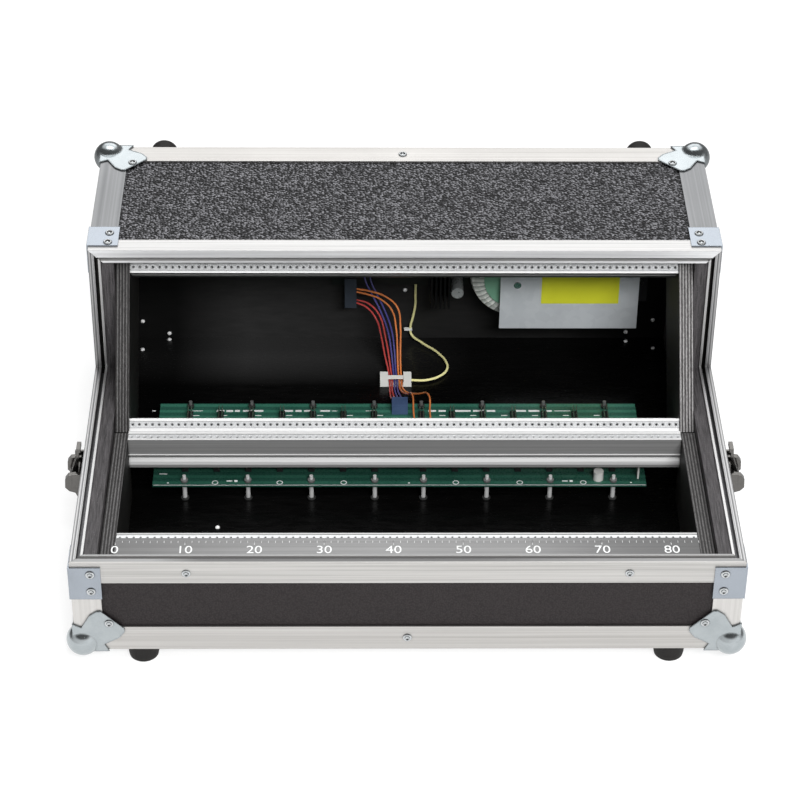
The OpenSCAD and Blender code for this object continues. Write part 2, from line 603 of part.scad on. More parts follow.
// Route moved with the back wall at its far end and with the bus boards at its near end
function shift(y) = y > 300 ? back_y - 386.5 : (y > 220 ? bus_y[1] : bus_y[0] + 57.5) + bus_w - 269;
function route(p) = [for (q = p) [q[0], q[1] + shift(q[1]),
    q[2] + floor_z - 9.5 + (q[1] < 280 ? bus_up - 15 : 0)]];
module wire_red() color("#b3262a") place() {
    wire(route(w_red1), 0.8);
    wire(route(w_red2), 0.8);
}
module wire_blue() color("#4a4a9c") place() {
    wire(route(w_blue1), 0.8);
    wire(route(w_blue2), 0.8);
}
module wire_orange() color("#d9772b") place() {
    wire(route(w_org1), 0.8);
    wire(route(w_org2), 0.8);
}
module wire_yellow() color("#e8e2b0") place() wire(route(w_loop), 1.1);

// White mount with two posts and a band over the wires
module tie_mount() color("#ecece8") place() {
    y = back_y - 65.5;
    block([-18, y - 6, floor_z], [8, y + 6, floor_z + 1]);
    block([-18, y - 6, floor_z], [-11.4, y + 6, floor_z + 7]);
    block([1.4, y - 6, floor_z], [8, y + 6, floor_z + 7]);
    block([-18, y - 2, floor_z + 5], [8, y + 2, floor_z + 6.2]);
}

// Inlet with a socket recess, pins, fuse drawer and switch well
module mains_inlet() color("#1f1f20") place() {
    y1 = case_d - edge_t;
    difference() {
        union() {
            block([inlet_x - 15.5, y1, inlet_z - 28], [inlet_x + 15.5, y1 + 2, inlet_z + 28]);
            block([inlet_x - 13.5, y1 - 30, inlet_z - 23.5], [inlet_x + 13.5, y1 + 1, inlet_z + 23.5]);
        }
        block([inlet_x - 12, y1 - 16, inlet_z + 3], [inlet_x + 12, y1 + 3, inlet_z + 19.5]);
        block([inlet_x - 12, y1 - 16, inlet_z - 21], [inlet_x + 12, y1 + 3, inlet_z - 7.6]);
    }
    for (x = [-7, 0, 7])
        block([inlet_x + x - 1, y1 - 17, inlet_z + 9], [inlet_x + x + 1, y1 - 2, inlet_z + 13]);
    bar_x(1.5, inlet_x - 12.5, inlet_x + 12.5, y1 - 8, inlet_z - 14.3);
}
// Switch cap drawn in its off position
module mains_rocker() color("#2a2a2c") place()
    translate([inlet_x, case_d - edge_t - 8, inlet_z - 14.3]) rotate([rocker_a, 0, 0]) difference() {
        along_x(-10.8, 10.8) polygon([[-5, -5.4], [7.4, -5.4], [6, 0], [7.4, 5.4], [-5, 5.4]]);
        bar_x(1.5 + run_fit, -20, 20, 0, 0);
    }

bottom_panel();
front_panel();
back_panel();
top_panel();
left_panel();
right_panel();
left_liner();
right_liner();
left_cheek_low();
right_cheek_low();
left_cheek_up();
right_cheek_up();
rail_top();
rail_mid_up();
rail_mid_low();
rail_front();
thread_strips();
front_strip();
rail_screws();
edges_long();
edges_top_side();
edges_front_side();
edges_back_side();
edges_bottom_side();
lip_top();
lip_front();
lip_left();
lip_right();
ball_corners();
braces();
rivets();
feet_bottom();
feet_back();
latch_base_left();
latch_base_right();
latch_lever_left();
latch_lever_right();
latch_hook_left();
latch_hook_right();
supply_cover();
cover_sticker();
transformer();
transformer_disc();
supply_bolts();
supply_board();
supply_heatsink();
supply_capacitors();
supply_plug();
bus_board_low();
bus_board_up();
bus_headers();
bus_terminals();
board_spacers();
wire_red();
wire_blue();
wire_orange();
wire_yellow();
tie_mount();
mains_inlet();
mains_rocker();
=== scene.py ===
import math

import bmesh
import bpy
from mathutils import Matrix, Vector


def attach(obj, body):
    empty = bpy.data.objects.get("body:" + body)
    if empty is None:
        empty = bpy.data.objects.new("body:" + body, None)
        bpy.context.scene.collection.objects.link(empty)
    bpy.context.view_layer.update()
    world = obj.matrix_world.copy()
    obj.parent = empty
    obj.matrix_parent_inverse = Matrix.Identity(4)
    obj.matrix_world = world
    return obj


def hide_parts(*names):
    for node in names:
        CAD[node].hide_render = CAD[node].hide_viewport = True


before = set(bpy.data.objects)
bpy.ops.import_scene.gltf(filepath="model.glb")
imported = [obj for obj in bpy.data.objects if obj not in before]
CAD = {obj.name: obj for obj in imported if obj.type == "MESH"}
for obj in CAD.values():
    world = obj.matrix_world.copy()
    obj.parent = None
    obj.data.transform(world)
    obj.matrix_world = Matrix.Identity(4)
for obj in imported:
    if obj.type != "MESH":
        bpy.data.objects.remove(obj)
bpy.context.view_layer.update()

# Sizes in millimetres, measured from the front face and the bottom of the case.
PITCH = 5.08
HOLES = 84
TILT = math.radians(51.5)
ROW_SPAN = 122.5
LOW_Y, LOW_Z = 42.0, 72.0
UP_Y, UP_Z = LOW_Y + ROW_SPAN + 13.5, LOW_Z + 1.0
CASE_D = 396.0
FOOT_H = 15.0
HALF_W = 244.0
WALL = 9.5
BACK_Y = CASE_D - WALL
FRONT_H = 82.5
CASE_H = 192.0
OPEN_Y = 242.0
BALL_R, BALL_IN = 12.5, 5.6
MID_Y = (CASE_D + FOOT_H + BALL_IN - BALL_R) / 2
# Hole line of each rail, and its tilt.
RAILS = {
    "front": (LOW_Y, LOW_Z, 0.0),
    "mid_low": (LOW_Y + ROW_SPAN, LOW_Z, 0.0),
    "mid_up": (UP_Y, UP_Z, TILT),
    "top": (UP_Y + ROW_SPAN * math.cos(TILT), UP_Z + ROW_SPAN * math.sin(TILT), TILT),
}
COVER_X = 195.5
TINNED_X = 100.0
BUS_Z = 24.5
BUS_T = 1.6
BUS_TOP = BUS_Z + BUS_T
BUS_Y = (161.5, 219.0)
BUS_W = 50.0
HEADER_X = [x0 + 24.8 * k for x0 in (-172.0, 15.0) for k in range(7)]


def pt(x, y, z):
    """A point of the case, in millimetres, as a place in the scene, in metres."""
    return Vector((x / 1000, (y - MID_Y) / 1000, (z + FOOT_H) / 1000))


def at_y(y):
    return pt(0, y, 0).y


def at_z(z):
    return pt(0, 0, z).z


def mm(*values):
    return tuple(v / 1000 for v in values)


def scaled(values, by):
    return tuple(by * v for v in values)


def add_object(name, data):
    obj = bpy.data.objects.new(name, data)
    bpy.context.collection.objects.link(obj)
    return obj


# Camera, measured from the photograph.
FOCAL_PX, IMAGE_PX, SENSOR = 2627.0, 800.0, 36.0
LOOK_DOWN, LOOK_RIGHT = math.radians(36.33), math.radians(0.88)
CAMERA_AT = (-35.0, -1452.1, 1295.4)


def make_camera():
    data = bpy.data.cameras.new("camera")
    data.sensor_width = SENSOR
    data.lens = FOCAL_PX / IMAGE_PX * SENSOR
    data.clip_end = 20.0
    cam = add_object("camera", data)
    tip, swing = LOOK_DOWN, LOOK_RIGHT
    look = Vector((math.sin(swing), math.cos(swing) * math.cos(tip), -math.cos(swing) * math.sin(tip)))
    up = Vector((0, math.sin(tip), math.cos(tip)))
    right = look.cross(up)
    turn = Matrix((right, up, -look)).transposed().to_4x4()
    cam.matrix_world = Matrix.Translation(pt(*CAMERA_AT)) @ turn
    bpy.context.scene.camera = cam


# Small helpers that lay out material nodes.
def put(tree, kind, inputs=None, **props):
    n = tree.nodes.new(kind)
    for key, value in props.items():
        setattr(n, key, value)
    for key, value in (inputs or {}).items():
        if isinstance(value, bpy.types.NodeSocket):
            tree.links.new(value, n.inputs[key])
        else:
            n.inputs[key].default_value = value
    return n


def new_finish(name, metal=0.0, rough=0.5, spec=0.5, coat=0.0):
    mat = bpy.data.materials.new(name)
    mat.use_nodes = True
    tree = mat.node_tree
    shader = tree.nodes["Principled BSDF"]
    shader.inputs["Metallic"].default_value = metal
    shader.inputs["Roughness"].default_value = rough
    shader.inputs["Specular IOR Level"].default_value = spec
    shader.inputs["Coat Weight"].default_value = coat
    return mat, tree, shader


def where(tree, scale=(1, 1, 1)):
    coord = put(tree, "ShaderNodeTexCoord")
    return put(tree, "ShaderNodeMapping", {"Vector": coord.outputs["Object"], "Scale": scale}).outputs[0]


def xyz(tree, kind="Object"):
    """The three parts of a texture coordinate."""
    coord = put(tree, "ShaderNodeTexCoord")
    return put(tree, "ShaderNodeSeparateXYZ", {"Vector": coord.outputs[kind]}).outputs


def noise(tree, vec, scale, detail=4.0, rough=0.55):
    return put(tree, "ShaderNodeTexNoise", {"Vector": vec, "Scale": scale, "Detail": detail,
                                            "Roughness": rough}).outputs["Fac"]


def ramp(tree, fac, stops):
    n = put(tree, "ShaderNodeValToRGB", {"Fac": fac})
    els = n.color_ramp.elements
    while len(els) < len(stops):
        els.new(0.5)
    for el, (pos, col) in zip(els, stops):
        el.position = pos
        el.color = (*col, 1.0) if not isinstance(col, float) else (col, col, col, 1.0)
    return n.outputs["Color"]


def span(tree, fac, low, high, to_low=0.0, to_high=1.0):
    """Maps low..high of a value to another range and holds it at the ends."""
    return put(tree, "ShaderNodeMapRange", {"Value": fac, "From Min": low, "From Max": high,
                                            "To Min": to_low, "To Max": to_high}).outputs["Result"]


def math_node(tree, how, a, b=0.0):
    return put(tree, "ShaderNodeMath", {0: a, 1: b}, operation=how).outputs[0]


def times(tree, a, b):
    return math_node(tree, "MULTIPLY", a, b)


def between(tree, value, low, high):
    return times(tree, math_node(tree, "GREATER_THAN", value, low), math_node(tree, "LESS_THAN", value, high))


def across_case(tree):
    """0 at the left end of the rows, 1 at the right end."""
    half = 0.22
    return span(tree, xyz(tree)["X"], -half, half)


def mix(tree, fac, a, b, how="MIX"):
    n = put(tree, "ShaderNodeMix", {0: fac}, data_type="RGBA", blend_type=how)
    for key, value in ((6, a), (7, b)):
        if isinstance(value, bpy.types.NodeSocket):
            tree.links.new(value, n.inputs[key])
        else:
            n.inputs[key].default_value = (*value, 1.0)
    return n.outputs[2]


def tint(tree, colour, by):
    return mix(tree, 1.0, colour, by, "MULTIPLY")


def relief(tree, shader, height, strength, depth, edge=0.0):
    inputs = {"Height": height, "Strength": strength, "Distance": depth}
    if edge:
        inputs["Normal"] = put(tree, "ShaderNodeBevel", {"Radius": edge}, samples=4).outputs[0]
    bump = put(tree, "ShaderNodeBump", inputs)
    tree.links.new(bump.outputs["Normal"], shader.inputs["Normal"])


def grime(tree, colour, reach=0.0022):
    """Painted shade: darkens a colour in corners and beside what stands on the surface."""
    near = put(tree, "ShaderNodeAmbientOcclusion", {"Distance": reach}, samples=4).outputs["AO"]
    return tint(tree, colour, ramp(tree, near, [(0.35, 0.3), (0.85, 1.0)]))


def feed(tree, shader, **sockets):
    names = {"colour": "Base Color", "rough": "Roughness", "metal": "Metallic"}
    for key, value in sockets.items():
        tree.links.new(value, shader.inputs[names[key]])


# Finishes.
SKIN_TONES = [(0.013, 0.0105, 0.011), (0.018, 0.0145, 0.015), (0.024, 0.0195, 0.02)]
LONG_X, LONG_Y, LONG_Z = (9, 2600, 2600), (2600, 9, 2600), (2600, 2600, 9)
SKIN_T = 4.0
LIT_PATCH_Y = (316, 358)
PLY_PITCH = 0.0023
TRACK_PITCH = 0.0078
TAPE_TURNS = 46
# Depth of the lips' grooves in from the outer face.
GROOVE_FRONT, GROOVE_TOP = (4.6, 7.7), (6.5, 9.6)


def pebbled_laminate(name, tones, grain, lift, gloss, spec, squeeze=(1, 1, 1)):
    """Black skin pressed with small irregular pebbles."""
    mat, tree, shader = new_finish(name, rough=0.42, spec=spec)
    vec = where(tree, squeeze)
    colour, rough, hill = pebbles(tree, vec, tones, grain, gloss)
    # Painted shade in corners and beside raised parts.
    feed(tree, shader, colour=grime(tree, colour, 0.003), rough=rough)
    relief(tree, shader, hill, lift, 0.0011, 0.0004)
    return mat


def pebbles(tree, vec, tones, grain, gloss):
    """Colour, roughness and height of a pressed skin, with painted light: its far slopes are painted paler and its
    near ones darker.
    """
    reach = 160.0 / grain
    warp = put(tree, "ShaderNodeTexNoise", {"Vector": vec, "Scale": 300.0, "Detail": 2.0})
    moved = put(tree, "ShaderNodeVectorMath", {0: warp.outputs["Color"], 1: mm(0.7, 0.7, 0.7)},
                operation="MULTIPLY")
    spot = put(tree, "ShaderNodeVectorMath", {0: vec, 1: moved.outputs[0]}, operation="ADD").outputs[0]
    hills = []
    for step in (-reach, reach):
        place = put(tree, "ShaderNodeVectorMath", {0: spot, 1: mm(step * 0.4, step, step)}, operation="ADD")
        cells = put(tree, "ShaderNodeTexVoronoi", {"Vector": place.outputs[0], "Scale": grain, "Smoothness": 0.2,
                                                   "Randomness": 0.85}, feature="SMOOTH_F1")
        hills.append(span(tree, cells.outputs["Distance"], 0.05, 0.75, 1.0, 0.0))
    hill = times(tree, math_node(tree, "ADD", *hills), 0.5)
    # Painted light: two offset hills make far slopes pale and near slopes dark.
    slope_light = math_node(tree, "ADD", math_node(tree, "SUBTRACT", *hills), 0.5)
    wide = noise(tree, vec, 38.0, 3.0)
    tone = times(tree, slope_light, span(tree, wide, 0.3, 0.7, 0.98, 1.02))
    return (ramp(tree, tone, list(zip((0.2, 0.52, 0.95), tones))),
            span(tree, hill, 0.0, 1.0, gloss + 0.3, gloss), hill)


def inner_black(name, low, high, rough, spec, tone_by_place=None):
    """Black painted inside of the shell, with a painted pool of light towards the back left and painted shade
    towards the sides and the right; outside the pebbled skin.
    """
    mat, tree, shader = new_finish(name, rough=rough, spec=spec)
    vec = where(tree)
    x, y, z = xyz(tree)
    grain = noise(tree, where(tree, (18, 90, 90)), 3.0, 6.0, 0.6)
    dust = noise(tree, vec, 900.0, 2.0)
    paint = mix(tree, span(tree, dust, 0.66, 0.8, 0.0, 0.3),
                ramp(tree, grain, [(0.3, low), (0.75, high)]), scaled(high, 2.2))
    # Painted light: a paler pool of the given tone towards the back left.
    if tone_by_place:
        back = span(tree, y, *map(at_y, LIT_PATCH_Y))
        left = span(tree, x, -0.05, 0.06, 1.0, 0.06)
        paint = mix(tree, times(tree, back, left), paint, tone_by_place)
    # Painted shade: the paint fades to black towards both sides and towards the right, where the cheeks cast
    # shade.
    shade_to_sides = span(tree, math_node(tree, "ABSOLUTE", x), 0.13, 0.19, 0.0, 0.85)
    shade_to_right = span(tree, x, -0.15, 0.03, 0.0, 0.58)
    for fade in (shade_to_sides, shade_to_right):
        paint = mix(tree, fade, paint, (0.001, 0.001, 0.001))
    skin, skin_rough, hill = pebbles(tree, vec, SKIN_TONES, 700.0, 0.4)
    outer = math_node(tree, "MAXIMUM", math_node(tree, "GREATER_THAN", y, at_y(CASE_D - SKIN_T)),
                      math_node(tree, "LESS_THAN", z, at_z(SKIN_T)))
    feed(tree, shader, colour=mix(tree, outer, paint, skin),
         rough=mix(tree, outer, span(tree, grain, 0.2, 0.8, rough - 0.06, rough + 0.08), skin_rough))
    relief(tree, shader, mix(tree, outer, times(tree, grain, 0.15), hill), 0.25, 0.0011)
    return mat


def stained_wood(name, low, high):
    """Black stained board; the fibres run along the visible edges."""
    mat, tree, shader = new_finish(name, rough=0.55, spec=0.35)
    fibre = noise(tree, where(tree, (1500, 60, 60)), 1.0, 5.0, 0.65)
    speck = noise(tree, where(tree, (1500, 700, 700)), 1.0, 2.0, 0.7)
    base = ramp(tree, fibre, [(0.34, low), (0.66, high)])
    pale = span(tree, speck, 0.6, 0.78, 0.0, 0.55)
    feed(tree, shader, colour=mix(tree, pale, base, scaled(high, 2.6)))
    relief(tree, shader, fibre, 0.4, 0.0003, 0.0003)
    return mat


def plywood(name, pale):
    """Dark ply: layers across the board's thickness, which lies along x."""
    mat, tree, shader = new_finish(name, rough=0.6, spec=0.3)
    wobble = noise(tree, where(tree, (30, 30, 30)), 1.0, 3.0)
    side = math_node(tree, "ADD", xyz(tree)["X"], span(tree, wobble, 0, 1, -0.0002, 0.0002))
    beat = math_node(tree, "SINE", times(tree, side, 2 * math.pi / PLY_PITCH))
    speck = noise(tree, where(tree, (2000, 420, 420)), 1.0, 3.0, 0.7)
    strand = noise(tree, where(tree, (1600, 70, 70)), 1.0, 5.0, 0.65)
    fibre = math_node(tree, "ADD", times(tree, speck, 0.6), times(tree, strand, 0.45))
    layer = math_node(tree, "ADD", times(tree, beat, 0.19), fibre)
    edge = ramp(tree, layer, [(0.25, (0.012, 0.011, 0.011)), (0.52, scaled((0.05, 0.048, 0.048), pale)),
                              (0.8, scaled((0.19, 0.186, 0.186), pale))])
    face = noise(tree, where(tree, (900, 14, 60)), 1.0, 5.0, 0.6)
    flat = ramp(tree, face, [(0.3, (0.006, 0.006, 0.0055)), (0.7, (0.016, 0.0155, 0.0145))])
    across = math_node(tree, "ABSOLUTE", xyz(tree, "Normal")["X"])
    feed(tree, shader, colour=mix(tree, span(tree, across, 0.4, 0.6), edge, flat))
    relief(tree, shader, layer, 0.35, 0.0003, 0.0003)
    return mat


def drawn_aluminium(name, scale, tone=0.86, warm=0.0, line=0.5, metal=0.9, rough=0.34, upright=1.0,
                    fade=None, depth=0.28):
    """Extruded aluminium with draw lines.

    scale is low along the extrusion, upright scales the tone of upright faces as painted shade below 1 and painted
    light above 1, and faces that face down get painted shade, fade holds tones along x as a painted sheen, and
    depth is the contrast of the lines.
    """
    mat, tree, shader = new_finish(name, metal=metal, rough=rough)
    fine = noise(tree, where(tree, scale), 1.0, 3.0, 0.6)
    broad = noise(tree, where(tree, scaled(scale, 0.22)), 1.0, 2.0)
    smear = noise(tree, where(tree, (14, 14, 14)), 1.0, 4.0)
    both = math_node(tree, "ADD", times(tree, fine, line), times(tree, broad, 1.0 - line))
    dark, pale = ((v, v - warm * 0.6, v - 1.4 * warm) for v in (tone * (1.0 - depth), tone))
    # Painted shade in corners and beside raised parts.
    colour = grime(tree, ramp(tree, both, [(0.34, dark), (0.62, pale)]))
    # Painted shade and light by facing: upright faces scaled by the upright factor, faces that face down darker.
    if upright != 1.0:
        facing = xyz(tree, "Normal")["Z"]
        colour = tint(tree, colour, times(tree, span(tree, facing, 0.02, 0.2, upright, 1.0),
                                          span(tree, facing, -0.5, -0.2, 0.12, 1.0)))
    # Painted sheen: tones along x.
    if fade:
        colour = tint(tree, colour, ramp(tree, across_case(tree), fade))
    feed(tree, shader, colour=colour,
         rough=span(tree, math_node(tree, "ADD", fine, smear), 0.6, 1.4, rough - 0.07, rough + 0.08))
    relief(tree, shader, both, 0.16, 0.0002, 0.0004)
    return mat


def inset(*depths):
    """Distances from the middle of the case, given as depths in from its outer face."""
    return mm(*(HALF_W - d for d in depths))


def lip_aluminium(name):
    """The same metal on a lip that bends once: lines follow the opening edge; the groove is painted dark as
    painted shade, darkest on its level part.
    """
    mat, tree, shader = new_finish(name, metal=0.9, rough=0.34)
    x, y, z = xyz(tree)
    off = math_node(tree, "MAXIMUM", math_node(tree, "SUBTRACT", y, at_y(OPEN_Y)),
                    math_node(tree, "SUBTRACT", at_z(FRONT_H), z))
    along = math_node(tree, "ADD", y, z)
    vec = put(tree, "ShaderNodeCombineXYZ", {
        "X": times(tree, x, 2600.0), "Y": times(tree, off, 2600.0), "Z": times(tree, along, 9.0)}).outputs[0]
    fine = noise(tree, vec, 1.0, 3.0, 0.6)
    smear = noise(tree, where(tree, (14, 14, 14)), 1.0, 4.0)
    width = math_node(tree, "ABSOLUTE", x)
    inside = times(tree, span(tree, width, *inset(7.9, 7.6)), span(tree, width, *inset(4.7, 4.4), 1.0, 0.0))
    # Painted shade inside the groove.
    groove_shade = times(tree, inside, span(tree, off, 0.0004, 0.0022))
    bare = ramp(tree, fine, [(0.34, (0.5, 0.5, 0.5)), (0.64, (0.66, 0.655, 0.65))])
    level = math_node(tree, "LESS_THAN", y, at_y(OPEN_Y - 0.4))
    lines = noise(tree, put(tree, "ShaderNodeCombineXYZ", {"X": times(tree, width, 900.0)}).outputs[0], 1.0, 2.0)
    outer = times(tree, span(tree, width, *inset(4.6, 4.2)), span(tree, off, 0.0003, 0.0012, 1.0, 0.0))
    seat = ramp(tree, lines, [(0.36, (0.14, 0.14, 0.145)), (0.5, (0.3, 0.3, 0.305)), (0.6, (0.52, 0.52, 0.52))])
    # Painted shade: near black on the level part of the groove, dark grey where it bends.
    groove = mix(tree, level, (0.03, 0.028, 0.027), (0.15, 0.15, 0.155))
    feed(tree, shader, colour=mix(tree, groove_shade, mix(tree, outer, bare, seat), groove),
         rough=span(tree, math_node(tree, "ADD", fine, smear), 0.6, 1.4, 0.28, 0.44))
    relief(tree, shader, fine, 0.16, 0.0002, 0.0004)
    return mat


def grooved_lip(name):
    """Straight lid lip along x: painted shade in the grooves, painted light on the upright faces of the top lip, a
    grey inner lip and a seat whose grey changes along the case.
    """
    mat, tree, shader = new_finish(name, metal=0.55, rough=0.34)
    fine = noise(tree, where(tree, LONG_X), 1.0, 3.0, 0.6)
    broad = noise(tree, where(tree, (4, 560, 560)), 1.0, 2.0)
    both = times(tree, math_node(tree, "ADD", fine, broad), 0.5)
    _, y, z = xyz(tree)
    front = times(tree, between(tree, y, *map(at_y, GROOVE_FRONT)),
                  span(tree, z, at_z(FRONT_H - 0.4), at_z(FRONT_H - 2)))
    top = times(tree, between(tree, z, at_z(CASE_H - GROOVE_TOP[1]), at_z(CASE_H - GROOVE_TOP[0])),
                span(tree, y, at_y(OPEN_Y + 0.4), at_y(OPEN_Y + 2)))
    seat = times(tree, span(tree, y, at_y(0.9), at_y(1.5)), math_node(tree, "LESS_THAN", y, at_y(4.8)))
    seat = times(tree, seat, math_node(tree, "GREATER_THAN", z, at_z(FRONT_H - 0.3)))
    high = math_node(tree, "GREATER_THAN", z, at_z(FRONT_H + 20))
    inner = times(tree, math_node(tree, "SUBTRACT", 1.0, high),
                  math_node(tree, "GREATER_THAN", y, at_y(GROOVE_FRONT[1])))
    # Painted light: the upright faces of the top lip take a paler copy of the metal.
    pale = times(tree, high, span(tree, xyz(tree, "Normal")["Z"], 0.5, 0.8, 1.0, 0.35))
    bare = mix(tree, pale, ramp(tree, both, [(0.36, (0.38, 0.373, 0.36)), (0.6, (0.54, 0.53, 0.514))]),
               ramp(tree, both, [(0.36, (0.6, 0.605, 0.615)), (0.6, (0.84, 0.845, 0.855))]))
    # The seat's grey changes along the case.
    tone_by_place = ramp(tree, across_case(tree), [(0.08, 0.3), (0.16, 0.14), (0.6, 0.13), (0.8, 0.22), (0.95, 0.27)])
    dull = mix(tree, seat, mix(tree, inner, bare, (0.3, 0.3, 0.3)), tone_by_place)
    # Painted shade in the grooves: mid grey in the front-facing groove, darker grey in the upward one.
    front_groove_shade = mix(tree, times(tree, front, 0.8), dull, (0.28, 0.28, 0.285))
    feed(tree, shader, colour=mix(tree, times(tree, top, 0.2), front_groove_shade, (0.12, 0.12, 0.122)),
         rough=span(tree, both, 0.3, 0.7, 0.28, 0.42))
    relief(tree, shader, both, 0.2, 0.0002, 0.0004)
    return mat


def zinc(name, tone=(0.42, 0.46, 0.5), rough=0.3, mottle=26.0, metal=0.95):
    mat, tree, shader = new_finish(name, metal=metal, rough=rough)
    cloud = noise(tree, where(tree), mottle, 5.0, 0.6)
    fine = noise(tree, where(tree), 700.0, 2.0)
    low = scaled(tone, 0.88)
    # Painted shade in corners and beside raised parts.
    feed(tree, shader, colour=grime(tree, ramp(tree, cloud, [(0.3, low), (0.7, tone)]), 0.0015),
         rough=span(tree, math_node(tree, "ADD", cloud, times(tree, fine, 0.3)),
                    0.4, 1.0, rough - 0.05, rough + 0.06))
    relief(tree, shader, fine, 0.05, 0.0002, 0.0005)
    return mat


def ball_zinc(name):
    """Corner pieces: bright plated steel, pressed in one piece with soft bends."""
    mat, tree, shader = new_finish(name, metal=0.97, rough=0.17)
    cloud = noise(tree, where(tree), 60.0, 5.0, 0.6)
    fine = noise(tree, where(tree), 800.0, 2.0)
    plate = ramp(tree, cloud, [(0.3, (0.38, 0.415, 0.43)), (0.7, (0.46, 0.495, 0.51))])
    # Painted shade in corners and beside raised parts.
    feed(tree, shader, colour=grime(tree, plate, 0.0015), rough=span(tree, cloud, 0.3, 0.7, 0.13, 0.2))
    relief(tree, shader, math_node(tree, "ADD", fine, cloud), 0.05, 0.0002, 0.0022)
    return mat


def spangled_sheet(name):
    """Galvanised sheet with faint crystal patches; the tab at the wall is painted near black as painted shade."""
    mat, tree, shader = new_finish(name, metal=0.25, rough=0.42)
    cells = put(tree, "ShaderNodeTexVoronoi", {"Vector": where(tree), "Scale": 160.0})
    value = put(tree, "ShaderNodeSeparateXYZ", {"Vector": cells.outputs["Color"]}).outputs["X"]
    cloud = noise(tree, where(tree), 30.0, 4.0)
    tone = math_node(tree, "ADD", times(tree, value, 0.3), cloud)
    # Painted shade: the tab at the wall, right of the cover, is painted near black.
    shaded_tab = math_node(tree, "GREATER_THAN", xyz(tree)["X"], COVER_X / 1000)
    sheet = ramp(tree, tone, [(0.35, (0.68, 0.72, 0.755)), (0.95, (0.78, 0.82, 0.85))])
    feed(tree, shader, colour=mix(tree, shaded_tab, sheet, (0.035, 0.036, 0.038)),
         rough=span(tree, value, 0, 1, 0.36, 0.5))
    relief(tree, shader, cloud, 0.05, 0.0003, 0.0004)
    return mat


def plain_skin(name, colour, rough=0.45, metal=0.0, vary=0.18, grain=420.0, lift=0.12, spec=0.5,
               coat=0.0):
    """Moulded or painted skin: slight cloudiness and fine grain."""
    mat, tree, shader = new_finish(name, metal=metal, rough=rough, spec=spec, coat=coat)
    cloud = noise(tree, where(tree), 45.0, 4.0)
    fine = noise(tree, where(tree), grain, 3.0)
    low = scaled(colour, 1 - vary)
    high = tuple(min(1.0, c * (1 + vary)) for c in colour)
    feed(tree, shader, colour=ramp(tree, cloud, [(0.3, low), (0.7, high)]),
         rough=span(tree, fine, 0.3, 0.7, rough - 0.07, rough + 0.08))
    relief(tree, shader, fine, lift, 0.0002, 0.0003)
    return mat


def circuit_board(name):
    """Green mask over copper tracks that run along the board; the rear board is made paler with painted light."""
    mat, tree, shader = new_finish(name, rough=0.3, spec=0.5)
    y = xyz(tree)["Y"]
    lanes = math_node(tree, "SINE", times(tree, y, 2 * math.pi / TRACK_PITCH))
    weave = noise(tree, where(tree), 1400.0, 2.0)
    cloud = noise(tree, where(tree), 30.0, 3.0)
    track = span(tree, lanes, 0.1, 0.3)
    base = ramp(tree, cloud, [(0.3, (0.011, 0.05, 0.036)), (0.7, (0.018, 0.07, 0.05))])
    copper = ramp(tree, cloud, [(0.3, (0.02, 0.088, 0.06)), (0.7, (0.03, 0.115, 0.08))])
    # Painted light: the rear board's colours are raised up to 1.6 times.
    rear = span(tree, y, at_y(212), at_y(218), 0.0, 0.6)
    mask = mix(tree, track, base, copper)
    feed(tree, shader, colour=mix(tree, rear, mask, mask, "ADD"),
         rough=span(tree, weave, 0.3, 0.7, 0.22, 0.38))
    relief(tree, shader, math_node(tree, "ADD", track, times(tree, weave, 0.2)), 0.25, 0.00008)
    return mat


def terminal_skin(name):
    """Blue terminal blocks near the middle; tinned tabs and pale caps towards the right end."""
    mat, tree, shader = new_finish(name, rough=0.38)
    vec = where(tree)
    cloud = noise(tree, vec, 45.0, 4.0)
    fine = noise(tree, vec, 500.0, 2.0)
    tinned = math_node(tree, "GREATER_THAN", xyz(tree)["X"], TINNED_X / 1000)
    blue = ramp(tree, cloud, [(0.3, (0.035, 0.06, 0.13)), (0.7, (0.075, 0.12, 0.23))])
    tin = ramp(tree, cloud, [(0.3, (0.5, 0.5, 0.48)), (0.7, (0.68, 0.68, 0.66))])
    feed(tree, shader, colour=mix(tree, tinned, blue, tin), rough=span(tree, fine, 0.3, 0.7, 0.3, 0.46))
    relief(tree, shader, fine, 0.12, 0.0002, 0.0004)
    return mat


def post_metal(name):
    """Posts under the boards: bright shank and tip; painted shade makes the foot and the nut dark and all the
    posts at the rear board darker.
    """
    mat, tree, shader = new_finish(name, metal=0.35, rough=0.34)
    _, y, z = xyz(tree)
    cloud = noise(tree, where(tree), 90.0, 5.0, 0.6)
    tall = span(tree, z, at_z(WALL), at_z(BUS_Z + 7.5))
    # Painted shade: the foot and the nut are painted dark.
    tone = ramp(tree, tall, [(0.056, 0.06), (0.075, 0.75), (0.7, 0.9), (0.73, 0.14), (0.83, 0.16), (0.86, 0.9)])
    # Painted shade: the posts at the rear board are darker.
    back = span(tree, y, at_y(205), at_y(215), 1.0, 0.2)
    shade = times(tree, back, span(tree, cloud, 0.3, 0.7, 0.88, 1.0))
    # Painted shade in corners and beside raised parts.
    feed(tree, shader, colour=grime(tree, tint(tree, tone, shade), 0.0015),
         rough=span(tree, cloud, 0.3, 0.7, 0.28, 0.4))
    relief(tree, shader, cloud, 0.05, 0.0002, 0.0004)
    return mat


